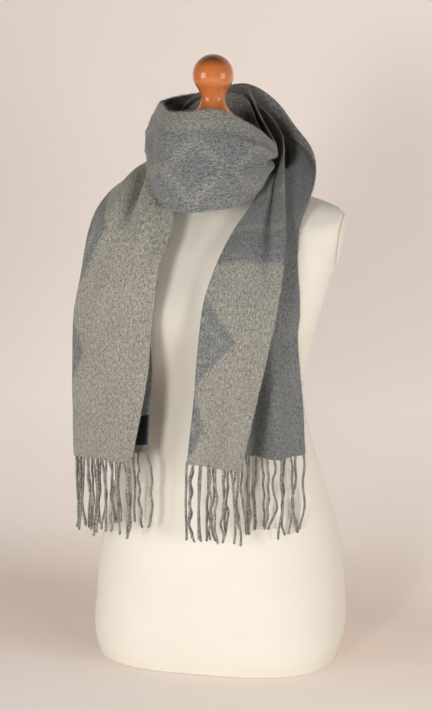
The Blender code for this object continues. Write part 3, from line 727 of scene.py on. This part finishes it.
def wander(along, share):
    """Slow uneven waves of a hand-wound cloth, at most a millimetre: the sum of the crossing ripples."""
    across = share * CLOTH_WIDTH / 2
    return MM * sum(size * np.sin(a * along + b * across + start) for a, b, start, size in RIPPLES)


ROLL_STEPS = 6
FLAT_STEPS = 48
FOLD_STEPS = 10


def scarf_surface(along):
    """The cloth's middle surface, one row for each place along.

    Each row is a hairpin: the outer layer with its rolled edge, a half circle at the fold, and the inner
    layer, swollen out between fold and edge and creased, then pushed clear of the torso.
    """
    along = np.asarray(along, float)
    shape = smooth_columns(PLACES, STATION_SHAPE, along)
    fold, outer, inner = (seen_to_part(shape[:, k:k + 3]) for k in (0, 3, 6))
    roll, swell_outer, swell_inner = (shape[:, k:k + 1] for k in (9, 10, 11))
    inside = np.clip(along, PLACES[0] + MM, PLACES[-1] - MM)
    travel = unit(seen_to_part(middle_line(inside + MM) - middle_line(inside - MM)))
    rise = unit((outer + inner) / 2 - fold)
    out = unit(np.cross(rise, travel))
    steps = np.linspace(0, 1, FLAT_STEPS + 1)
    swell = 4 * steps * (1 - steps)
    outer_start = fold + FOLD_RADIUS * (rise + out)
    inner_start = fold + FOLD_RADIUS * (rise - out)
    outer_rows = layer_points(outer_start, rise, outer, steps)
    outer_rows = outer_rows + (swell_outer * swell[None, :])[:, :, None] * out[:, None]
    inner_rows = layer_points(inner_start, rise, inner, steps)
    inner_rows = inner_rows + (swell_inner * swell[None, :])[:, :, None] * out[:, None]
    angles = np.linspace(np.pi / 2, -np.pi / 2, FOLD_STEPS + 1)[1:-1]
    fold_rows = (fold[:, None] + FOLD_RADIUS * ((1 - np.cos(angles))[None, :, None] * rise[:, None]
                                                + np.sin(angles)[None, :, None] * out[:, None]))
    upward = unit(outer_rows[:, -1] - outer_rows[:, -2])
    ahead, behind = (smooth_columns(PLACES, STATION_SHAPE[:, 3:6], inside + step) for step in (MM, -MM))
    edge_travel = seen_to_part(ahead - behind)
    edge_out = unit(np.cross(upward, edge_travel))
    rolled = rolled_edge(outer_rows[:, -1], upward, edge_out, roll, ROLL_STEPS)
    rows = np.concatenate([rolled[:, ::-1], outer_rows[:, ::-1], fold_rows, inner_rows], axis=1)
    share = np.concatenate([-np.ones(rolled.shape[1]), -steps[::-1], np.zeros(FOLD_STEPS - 1), steps])
    crease = crease_depth(along[:, None], share[None, :], CREASES + FINE_CREASES)
    ripple = wander(along[:, None], share[None, :])
    rows = rows + (crease + ripple)[:, :, None] * out[:, None]
    on_left = np.clip((place_of("left ridge") - along) / STACK_RAMP, 0, 1)[:, None]
    on_right = np.clip((along - place_of("right shoulder")) / STACK_RAMP, 0, 1)[:, None]
    above = (on_left * np.clip(0.5 - 4 * share, 0, 1)[None, :]
             + on_right * np.clip(0.5 + 4 * share, 0, 1)[None, :])
    clearance = CLOTH_THICKNESS / 2 + CLOTH_GAP + CHORD_ROOM + above * LAYER_ROOM
    return push_clear(rows, clearance)


def column_places(sheet):
    """Distance of each point from the outer layer's top line on the flat cloth, metres: even over the two
    layers, and the sheet's own length over the rolled edge."""
    outer = np.linspace(0, CLOTH_WIDTH / 2 - FOLD_RADIUS, FLAT_STEPS + 1)
    bend = np.linspace(outer[-1], CLOTH_WIDTH - outer[-1], FOLD_STEPS + 1)[1:-1]
    flat = np.concatenate([outer, bend, CLOTH_WIDTH - outer[::-1]])
    rolled = sheet.shape[1] - len(flat)
    steps = np.linalg.norm(np.diff(sheet[:, :rolled + 1], axis=1), axis=-1)
    beyond = np.cumsum(steps[:, ::-1], axis=1)[:, ::-1]
    return np.concatenate([-beyond, np.broadcast_to(flat, (len(sheet), len(flat)))], axis=1)


def soft_inside(distance, blur=0.007):
    """One well inside a figure, nought well outside, from the signed distance to its outline."""
    return np.clip(0.5 - distance / blur, 0, 1)


def block(u, v, first, last, low, high):
    """A rectangle on the flat cloth, in metres along and across."""
    return soft_inside(np.maximum(np.abs(u - (first + last) / 2) - (last - first) / 2,
                                  np.abs(v - (low + high) / 2) - (high - low) / 2))


def lozenge(u, v, middle, centre, half_long, half_wide):
    """Signed distance to a diamond on the flat cloth."""
    reach = np.abs(u - middle) / half_long + np.abs(v - centre) / half_wide - 1
    return reach * half_long * half_wide / math.hypot(half_long, half_wide)


# The wraps' border and drawn diamonds, the bars and the ring inside a solid diamond, metres on the flat
# cloth; how far the light lines show is a share
BORDER = 0.024
LINE_HALF = 0.0060
LINE_SHOW = 0.72
DIAMOND_START = 0.004
DIAMOND_PITCH = 0.092
DIAMOND_CENTRE = 0.083
DIAMOND_HALVES = (0.040, 0.046)
BAR_AHEAD = 0.020
BAR_PAST = 0.012
BAR_OVER_FOLD = 0.004
BAR_WIDTH = 0.011
BAR_LINES = (-0.002, -0.060)
RING_IN = 0.020
RING_HALF = 0.0035

# Solid diamonds on the fold: from station, metres past it, half length, half width
TAIL_DIAMONDS = (
    ("left hem", 0.345, 0.088, 0.040),
    ("left hem", 0.165, 0.052, 0.026),
    ("right middle", 0.060, 0.062, 0.070),
    ("right shin", 0.040, 0.046, 0.026),
)

# Painted shade: how far the dark yarn shows through the light face, from station to station, raised on the
# wraps and the upper right tail so that they come out darker, as if less lit higher up
SHADED_GROUND = (("left hem", 0.02), ("left ridge", 0.06), ("panel turn", 0.50), ("left turn", 0.45),
          ("right shoulder", 0.60), ("right bust", 0.34), ("right low", 0.22), ("right hem", 0.14))


def woven_pattern(u, v):
    """How much of the dark yarn shows on the light face: dark fields along the wraps with diamonds drawn in
    them in light lines, dark bars across the start of the right tail, and dark diamonds along the fold of
    both tails."""
    wraps_end = place_of("right shoulder") - BAR_AHEAD
    wraps = block(u, v, place_of("left nape"), wraps_end, BORDER, CLOTH_WIDTH - BORDER)
    for number in range(-4, 9):
        middle = place_of("panel right") + DIAMOND_START + DIAMOND_PITCH * number
        for centre in (DIAMOND_CENTRE, CLOTH_WIDTH - DIAMOND_CENTRE):
            outline = np.abs(lozenge(u, v, middle, centre, *DIAMOND_HALVES)) - LINE_HALF
            wraps = wraps * (1 - LINE_SHOW * soft_inside(outline))
    bars = block(u, v, wraps_end, place_of("right bust") + BAR_PAST, CLOTH_WIDTH / 2 - BAR_OVER_FOLD,
                 CLOTH_WIDTH + BORDER)
    for offset in BAR_LINES:
        low = place_of("right chest") + offset
        bars = bars * (1 - LINE_SHOW * block(u, v, low, low + BAR_WIDTH, 0, CLOTH_WIDTH))
    diamonds = 0
    for station, past, half_long, half_wide in TAIL_DIAMONDS:
        reach = lozenge(u, v, place_of(station) + past, CLOTH_WIDTH / 2, half_long, half_wide)
        ring = np.abs(reach + RING_IN) - RING_HALF
        diamonds = diamonds + soft_inside(reach) * (1 - 0.5 * soft_inside(ring))
    return np.clip(wraps + bars + diamonds, 0, 1)


def shaded_ground_level(u):
    """The share of dark yarn through the light face, eased from one named place to the next; its rise on the
    wraps and the upper right tail is painted shade.
    """
    places = [place_of(name) for name, _ in SHADED_GROUND]
    return np.interp(u, places, [level for _, level in SHADED_GROUND])


FINE_SHARE = 0.62
SPECK_MIX = 1.6
SPECK_DEPTH = 4.3
DRIFT_DEPTH = 0.35


def melange_group():
    """Shader group: brushed two-colour yarn. Fine noise drawn out along the cloth mixes pale and dark
    fibres and a slower one clouds them; the two raise the nap, and a third drifts the tone."""
    group = bpy.data.node_groups.new("brushed melange", "ShaderNodeTree")
    sockets = (("Light", "INPUT", "Color"), ("Dark", "INPUT", "Color"), ("Pattern", "INPUT", "Float"),
               ("Place", "INPUT", "Vector"), ("Contrast", "INPUT", "Float"), ("Color", "OUTPUT", "Color"),
               ("Height", "OUTPUT", "Float"))
    for name, way, kind in sockets:
        group.interface.new_socket(name=name, in_out=way, socket_type="NodeSocket" + kind)
    nodes, links = group.nodes, group.links
    inward, outward = nodes.new("NodeGroupInput"), nodes.new("NodeGroupOutput")

    def maths(operation, first, second):
        """A Math node on sockets or plain numbers."""
        node = nodes.new("ShaderNodeMath")
        node.operation = operation
        for socket, value in zip(node.inputs, (first, second)):
            if hasattr(value, "links"):
                links.new(value, socket)
            else:
                socket.default_value = value
        return node.outputs[0]

    fine, cloud, drift = (drawn_noise(nodes, links, inward.outputs["Place"], scales, 2.0, roughness=0.6)
                          for scales in ((470, 640, 640), (170, 270, 270), (14, 30, 30)))
    both = maths("ADD", maths("MULTIPLY", fine, FINE_SHARE), maths("MULTIPLY", cloud, 1 - FINE_SHARE))
    speck = maths("MULTIPLY", maths("SUBTRACT", both, 0.5), inward.outputs["Contrast"])
    share = maths("ADD", inward.outputs["Pattern"], maths("MULTIPLY", speck, SPECK_MIX))
    mix = nodes.new("ShaderNodeMix")
    mix.data_type = "RGBA"
    links.new(share, mix.inputs[0])
    links.new(inward.outputs["Light"], mix.inputs[6])
    links.new(inward.outputs["Dark"], mix.inputs[7])
    value = maths("ADD", maths("SUBTRACT", 1.0, maths("MULTIPLY", speck, SPECK_DEPTH)),
                  maths("MULTIPLY", maths("SUBTRACT", drift, 0.5), DRIFT_DEPTH))
    shade = nodes.new("ShaderNodeVectorMath")
    shade.operation = "SCALE"
    links.new(mix.outputs[2], shade.inputs[0])
    links.new(value, shade.inputs["Scale"])
    links.new(shade.outputs[0], outward.inputs["Color"])
    links.new(both, outward.inputs["Height"])
    return group


melange = melange_group()
TAUPE = (0.285, 0.270, 0.232, 1)
BLUE_GREY = (0.158, 0.166, 0.168, 1)


def lay_melange(nodes, links, shader, place, light, dark, contrast, strength, distance):
    """The melange as a material's colour and, by a strength and distance, its raised nap."""
    yarn = nodes.new("ShaderNodeGroup")
    yarn.node_tree = melange
    for name, value in (("Light", light), ("Dark", dark), ("Contrast", contrast)):
        yarn.inputs[name].default_value = value
    links.new(place, yarn.inputs["Place"])
    links.new(yarn.outputs["Color"], shader.inputs["Base Color"])
    raise_surface(nodes, links, shader, yarn.outputs["Height"], strength, distance)
    return yarn.inputs["Pattern"]


def cashmere_material(name, light, dark):
    """Brushed cashmere: the melange on the cloth's own metres, a raised nap and a soft sheen."""
    made, nodes, links, shader = plain_material(name)
    place = nodes.new("ShaderNodeUVMap")
    place.uv_map = "cloth"
    woven = nodes.new("ShaderNodeAttribute")
    woven.attribute_name = "pattern"
    pattern = lay_melange(nodes, links, shader, place.outputs["UV"], light, dark, 1.0, 0.75, 0.0012)
    links.new(woven.outputs["Fac"], pattern)
    shader.inputs["Roughness"].default_value = 0.95
    shader.inputs["Specular IOR Level"].default_value = 0.15
    shader.inputs["Sheen Weight"].default_value = 0.30
    shader.inputs["Sheen Roughness"].default_value = 0.55
    shader.inputs["Sheen Tint"].default_value = (0.86, 0.84, 0.80, 1)
    return made


light_face = cashmere_material("cashmere light face", TAUPE, BLUE_GREY)
dark_face = cashmere_material("cashmere dark face", BLUE_GREY, TAUPE)

ROW_PITCH = 0.0026

# Shares of the wall's thickness in from a selvedge
EDGE_THINNING = (0.35, 0.78, 0.95)

# Each stretch: its solid, the stations it runs between, how the cloth is held and what it rests on
STRETCHES = (
    ("scarf_tail_left", "left hem", "left ridge", "draped", ("form_torso",)),
    ("scarf_wrap_inner", "left ridge", "panel turn", "folded", ("form_torso",)),
    ("scarf_front_panel", "panel turn", "left turn", "folded", ("scarf_tail_left", "scarf_wrap_inner")),
    ("scarf_wrap_outer", "left turn", "right shoulder", "folded", ("scarf_wrap_inner", "form_torso")),
    ("scarf_tail_right", "right shoulder", "right hem", "draped", ("form_torso",)),
)


def cloth_wall(first, last):
    """A stretch of the cloth as a closed shell: its middle surface moved out and in by half its thickness,
    thinned to a soft edge at the selvedges, with the normals of the whole cloth."""
    start, end = place_of(first), place_of(last)
    along = np.linspace(start, end, max(12, round((end - start) / ROW_PITCH)) + 1)
    middle, before, after = (scarf_surface(along + step) for step in (0, -MM, MM))
    normal = unit(np.cross(np.gradient(middle, axis=1), after - before))
    thin = np.ones(middle.shape[1])
    thin[:len(EDGE_THINNING)] = EDGE_THINNING
    thin[-len(EDGE_THINNING):] = EDGE_THINNING[::-1]
    half = (CLOTH_THICKNESS / 2 * thin)[None, :, None] * normal
    return along, column_places(middle), middle + half, middle - half


def build_stretch(name, first, last):
    """The shell's mesh: the dark face, the light face and the rim between them, with the cloth's own metres
    as UV map and the woven pattern as attribute."""
    along, across, dark_side, light_side = cloth_wall(first, last)
    rows, columns = dark_side.shape[:2]
    count = rows * columns
    face = grid_faces(rows, columns)
    rim = np.concatenate([np.arange(columns), np.arange(2 * columns - 1, count, columns),
                          np.arange(count - 2, count - columns - 1, -1),
                          np.arange(count - 2 * columns, 0, -columns)])
    beside = np.roll(rim, -1)
    edge = np.stack([rim, rim + count, beside + count, beside], axis=-1)
    faces = np.concatenate([face, face[:, ::-1] + count, edge])
    points = np.concatenate([dark_side.reshape(-1, 3), light_side.reshape(-1, 3)])
    piece = new_piece(name + "_cloth", points, faces, [dark_face, light_face])
    mesh = piece.data
    sides = np.concatenate([np.zeros(len(face)), np.ones(len(face)), np.ones(len(edge))])
    mesh.polygons.foreach_set("material_index", sides.astype(np.int32))
    u, v = np.broadcast_to(along[:, None], across.shape).ravel(), across.ravel()
    corners = np.empty(len(mesh.loops), np.int32)
    mesh.loops.foreach_get("vertex_index", corners)
    uv = np.stack([u, v], axis=-1)[corners % count]
    mesh.uv_layers.new(name="cloth").uv.foreach_set("vector", uv.ravel())
    shown = mesh.attributes.new("pattern", "FLOAT", "POINT")
    # Painted shade: the second face's dark yarn share is raised along the wraps and the upper right tail
    motif, shaded_ground = woven_pattern(u, v), shaded_ground_level(u)
    shown.data.foreach_set("value", np.concatenate([motif, shaded_ground + (1 - shaded_ground) * motif]))
    mesh.set_sharp_from_angle(angle=math.radians(70))
    return piece


NAP_HAIRS = 9000
SELVEDGE_HAIRS = 5200
HAIR_RADIUS = 0.00010

# Lengths in metres: the two numbers of a gamma draw, the shortest and the longest
NAP_LENGTHS = (4.0, 0.00040, 0.0006, 0.0036)
SELVEDGE_LENGTHS = (3.5, 0.00062, 0.0008, 0.0052)
NAP_RISE, NAP_DROOP, NAP_LEAST_RISE = 0.45, 0.35, 0.25
NAP_SCATTER, SELVEDGE_SCATTER = 0.55, 0.45
NAP_SEED = 40


def hair_mesh(roots, headings, lengths):
    """Slim three-sided spikes, each closed: a small triangle square to its heading and one point."""
    helper = np.where(np.abs(headings[:, 2:]) < 0.8, (0, 0, 1.0), (1.0, 0, 0))
    first = unit(np.cross(headings, helper))
    second = np.cross(headings, first)
    turns = np.arange(3) * 2 * math.pi / 3
    ring = np.cos(turns)[None, :, None] * first[:, None] + np.sin(turns)[None, :, None] * second[:, None]
    points = np.concatenate([roots[:, None] + HAIR_RADIUS * ring,
                             (roots + headings * lengths[:, None])[:, None]], axis=1)
    spike = np.array([(2, 1, 0), (0, 1, 3), (1, 2, 3), (2, 0, 3)])
    faces = (spike[None] + 4 * np.arange(len(roots))[:, None, None]).reshape(-1, 3)
    return points, faces


def nap_hairs(first, last, seed):
    """Loose fibres: many short ones brushed down over both faces, and longer ones out of the selvedges,
    in uneven tufts whose weight is a sum of two waves along the cloth."""
    draw = np.random.default_rng(seed)
    along, across, dark_side, light_side = cloth_wall(first, last)
    rows, columns = dark_side.shape[:2]
    outward = unit(dark_side - light_side)
    row, column = draw.integers(1, rows - 1, NAP_HAIRS), draw.integers(4, columns - 4, NAP_HAIRS)
    side = draw.choice((-1.0, 1.0), NAP_HAIRS)[:, None]
    face = np.where(side > 0, dark_side[row, column], light_side[row, column])
    slide = (dark_side[row + 1, column] - dark_side[row, column]) * draw.random((NAP_HAIRS, 1))
    away = outward[row, column] * side
    heading = unit(away * NAP_RISE + draw.normal(0, NAP_SCATTER, (NAP_HAIRS, 3)) - (0, 0, NAP_DROOP))
    lean = (heading * away).sum(axis=1, keepdims=True)
    heading = unit(heading + away * np.maximum(NAP_LEAST_RISE - lean, 0))
    lengths = draw.gamma(*NAP_LENGTHS[:2], NAP_HAIRS).clip(*NAP_LENGTHS[2:])
    tuft = np.sin(along * 310) + np.sin(along * 97 + 2) + 2.2
    weight = np.clip(tuft[1:-1], 0.3, None)
    edge_row = 1 + draw.choice(rows - 2, SELVEDGE_HAIRS, p=weight / weight.sum())
    edge = draw.choice((0, columns - 1), SELVEDGE_HAIRS)
    inward = np.where(edge == 0, 1, columns - 2)
    root = (dark_side[edge_row, edge] + light_side[edge_row, edge]) / 2
    past_edge = unit(root - (dark_side[edge_row, inward] + light_side[edge_row, inward]) / 2)
    edge_heading = unit(past_edge + draw.normal(0, SELVEDGE_SCATTER, (SELVEDGE_HAIRS, 3)))
    edge_lengths = draw.gamma(*SELVEDGE_LENGTHS[:2], SELVEDGE_HAIRS).clip(*SELVEDGE_LENGTHS[2:])
    return hair_mesh(np.concatenate([face + slide, root]), np.concatenate([heading, edge_heading]),
                     np.concatenate([lengths, edge_lengths]))


def nap_material():
    """Single loose fibres, pale taupe with some grey ones among them."""
    made, nodes, links, shader = plain_material("loose fibres")
    place = nodes.new("ShaderNodeTexCoord").outputs["Object"]
    mottle = drawn_noise(nodes, links, place, (260, 260, 260), 2.0)
    tone = ramp(nodes, links, mottle, ((0.42, (0.15, 0.155, 0.155)), (0.60, (0.40, 0.385, 0.335))))
    links.new(tone, shader.inputs["Base Color"])
    shader.inputs["Roughness"].default_value = 0.9
    shader.inputs["Specular IOR Level"].default_value = 0.2
    return made


fibre_finish = nap_material()
cloths, naps = {}, {}
for cloth_number, (cloth_name, cloth_first, cloth_last, cloth_held, cloth_rests) in enumerate(STRETCHES):
    cloth = build_stretch(cloth_name, cloth_first, cloth_last)
    cloths[cloth_name] = cloth
    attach(cloth, "root")
    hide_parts(cloth_name)
    nap = new_piece(cloth_name + "_nap", *nap_hairs(cloth_first, cloth_last, NAP_SEED + cloth_number),
                    [fibre_finish], smooth=False)
    naps[cloth_name] = nap
    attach(nap, "root")


# ================================================================ the label
# A blank woven ribbon, sewn flat onto the inner face of the left tail's under layer, just above the hem.

# From the hem along the cloth in metres, and from the fold across as shares of the layer
LABEL_ALONG = (0.012, 0.060)
LABEL_SHARES = (0.62, 0.985)
LABEL_THICKNESS = 0.0007


def ribbon_material():
    """Black satin ribbon with a fine cross rib."""
    made, nodes, links, shader = plain_material("black ribbon")
    place = nodes.new("ShaderNodeTexCoord").outputs["Object"]
    rib = nodes.new("ShaderNodeTexWave")
    rib.bands_direction = "Z"
    rib.inputs["Scale"].default_value = 900.0
    links.new(place, rib.inputs["Vector"])
    tone = ramp(nodes, links, rib.outputs["Fac"], ((0, (0.008, 0.009, 0.013)), (1, (0.018, 0.019, 0.026))))
    links.new(tone, shader.inputs["Base Color"])
    shader.inputs["Roughness"].default_value = 0.42
    return made


def label_surface(rows, columns):
    """The under layer's own middle surface between two shares across, moved out past the cloth's face."""
    along = np.linspace(*LABEL_ALONG, rows)
    sheet, before, after = (scarf_surface(along + step)[:, -(FLAT_STEPS + 1):] for step in (0, -MM, MM))
    normal = unit(np.cross(np.gradient(sheet, axis=1), after - before))
    picked = np.linspace(*LABEL_SHARES, columns) * FLAT_STEPS
    low = np.floor(picked).astype(int)
    part = (picked - low)[None, :, None]
    lift = CLOTH_THICKNESS / 2 + CLOTH_GAP + LABEL_THICKNESS / 2
    raised = sheet + lift * normal
    return raised[:, low] * (1 - part) + raised[:, low + 1] * part


label_points = label_surface(24, 20)
label = new_piece("ribbon_label", label_points, grid_faces(*label_points.shape[:2]), [ribbon_material()])
label_wall = label.modifiers.new("ribbon", "SOLIDIFY")
label_wall.thickness = LABEL_THICKNESS
label_wall.offset = 0
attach(label, "root")
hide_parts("label")


# ================================================================ the fringes
# The warp ends left free past each hem, twisted by hand in bundles of two plies, each about four millimetres
# thick and twelve centimetres long, with a felted tip.

FRINGE_LENGTH = 0.118
FRINGE_PITCH = 0.0112
STRAND_RADIUS = 0.00178
STRAND_CLEAR = 0.0032
PLY_PITCH = 0.0085
PLY_LOBE = 0.24
PLY_PATTERN = 0.42
TIP_FROM = 0.965
TIP_SWELL = 0.25
STRAND_RINGS = 64
STRAND_SIDES = 10
STRAND_TUCK = 0.0030
HEM_INSET = 0.0052

# How far strands stray, as the spread of a normal draw, metres: bowed, waved slowly and quickly, leaning
# sideways and swinging out
STRAND_BOW, STRAND_SLOW, STRAND_QUICK, STRAND_LEAN, STRAND_SWING = 0.0042, 0.0020, 0.0008, 0.0042, 0.0022


def strand_paths(roots, tangents, sides, seed):
    """Centre lines: down from the hem, each bowed and waved by its own amounts that grow from the root, and
    leaning together with a neighbour; every second one passes in front, so that pairs cross."""
    draw = np.random.default_rng(seed)
    count = len(roots)
    share = np.linspace(0, 1, STRAND_RINGS)[None, :]
    grown = np.minimum(1, 3.5 * share)
    length = FRINGE_LENGTH * (1 + 0.05 * draw.standard_normal(count).clip(-1.5, 1.3))[:, None]
    bow = draw.normal(0, STRAND_BOW, count)[:, None] * np.sin(np.pi * share)
    slow, quick = (draw.normal(0, spread, count)[:, None]
                   * np.sin(waves * np.pi * share + draw.uniform(0, 6, count)[:, None])
                   for spread, waves in ((STRAND_SLOW, 3.1), (STRAND_QUICK, 7.3)))
    turn_about = np.where(np.arange(count) % 2, 1.0, -1.0)
    pairing = -turn_about * draw.uniform(-0.5, 1.0, count) * FRINGE_PITCH * 0.45
    lean = (pairing + draw.normal(0, STRAND_LEAN, count))[:, None] * share ** 1.3
    front = turn_about[:, None] * STRAND_RADIUS * np.sin(np.pi * share ** 0.7)
    depth = front + draw.normal(0, STRAND_SWING, count)[:, None] * np.sin(1.3 * np.pi * share) * share
    aside = bow + (slow + quick) * grown + lean
    path = roots[:, None] + aside[:, :, None] * tangents[:, None] + depth[:, :, None] * sides[:, None]
    path[:, :, 2] -= length * share - STRAND_TUCK
    return push_clear(path, STRAND_CLEAR)


def strand_tubes(path, tangents, sides):
    """A two-lobed section carried down each path and turned with the ply, swollen and closed at the tip."""
    share = np.linspace(0, 1, STRAND_RINGS)
    angle = np.linspace(0, 2 * math.pi, STRAND_SIDES, endpoint=False)
    twist = 2 * math.pi * FRINGE_LENGTH * share / PLY_PITCH
    radius = STRAND_RADIUS * (1 + PLY_LOBE * np.cos(2 * (angle[None, :] - twist[:, None])))
    tip = np.clip((share - TIP_FROM) / (1 - TIP_FROM), 0, 1)
    radius = radius * (1 + TIP_SWELL * np.sin(np.pi * tip)[:, None]) * np.sqrt(1 - tip ** 2)[:, None]
    ring = (np.cos(angle)[None, None, :, None] * tangents[:, None, None]
            + np.sin(angle)[None, None, :, None] * sides[:, None, None])
    return path[:, :, None] + radius[None, :, :, None] * ring


def hem_roots(place):
    """Evenly spaced roots along the hem, with the hem's own direction and its level normal."""
    hem = scarf_surface([place, place])[0]
    lengths = np.concatenate([[0], np.cumsum(np.linalg.norm(np.diff(hem, axis=0), axis=1))])
    count = int((lengths[-1] - HEM_INSET) / FRINGE_PITCH) + 1
    start = (lengths[-1] - (count - 1) * FRINGE_PITCH) / 2
    places = start + FRINGE_PITCH * np.arange(count)
    roots, ahead = (np.stack([np.interp(places + step, lengths, hem[:, k]) for k in range(3)], axis=-1)
                    for step in (0, MM))
    tangents = unit((ahead - roots) * (1, 1, 0))
    return roots, tangents, np.cross(tangents, (0, 0, 1))


def yarn_material():
    """The same brushed yarn as the cloth, twisted, its plies mixed of both colours."""
    made, nodes, links, shader = plain_material("twisted yarn")
    place = nodes.new("ShaderNodeTexCoord").outputs["Object"]
    pattern = lay_melange(nodes, links, shader, place, TAUPE, BLUE_GREY, 1.3, 0.5, 0.0006)
    pattern.default_value = PLY_PATTERN
    shader.inputs["Roughness"].default_value = 0.95
    shader.inputs["Specular IOR Level"].default_value = 0.15
    shader.inputs["Sheen Weight"].default_value = 0.25
    return made


yarn_finish = yarn_material()
fringes = {}
for fringe_name, fringe_place, fringe_seed in (("fringe_left", PLACES[0], 7),
                                               ("fringe_right", PLACES[-1], 12)):
    roots, tangents, sides = hem_roots(fringe_place)
    tubes = strand_tubes(strand_paths(roots, tangents, sides, fringe_seed), tangents, sides)
    starts = STRAND_RINGS * STRAND_SIDES * np.arange(len(roots))[:, None, None]
    strand_faces = starts + grid_faces(STRAND_RINGS, STRAND_SIDES, closed=True)[None]
    fringe = new_piece(fringe_name + "_yarn", tubes, strand_faces.reshape(-1, 4), [yarn_finish])
    welded(fringe)
    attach(fringe, "root")
    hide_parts(fringe_name)
    fringes[fringe_name] = fringe

going_with = {name: [nap] for name, nap in naps.items()}
going_with["scarf_tail_left"] += [label, fringes["fringe_left"]]
going_with["scarf_tail_right"] += [fringes["fringe_right"]]
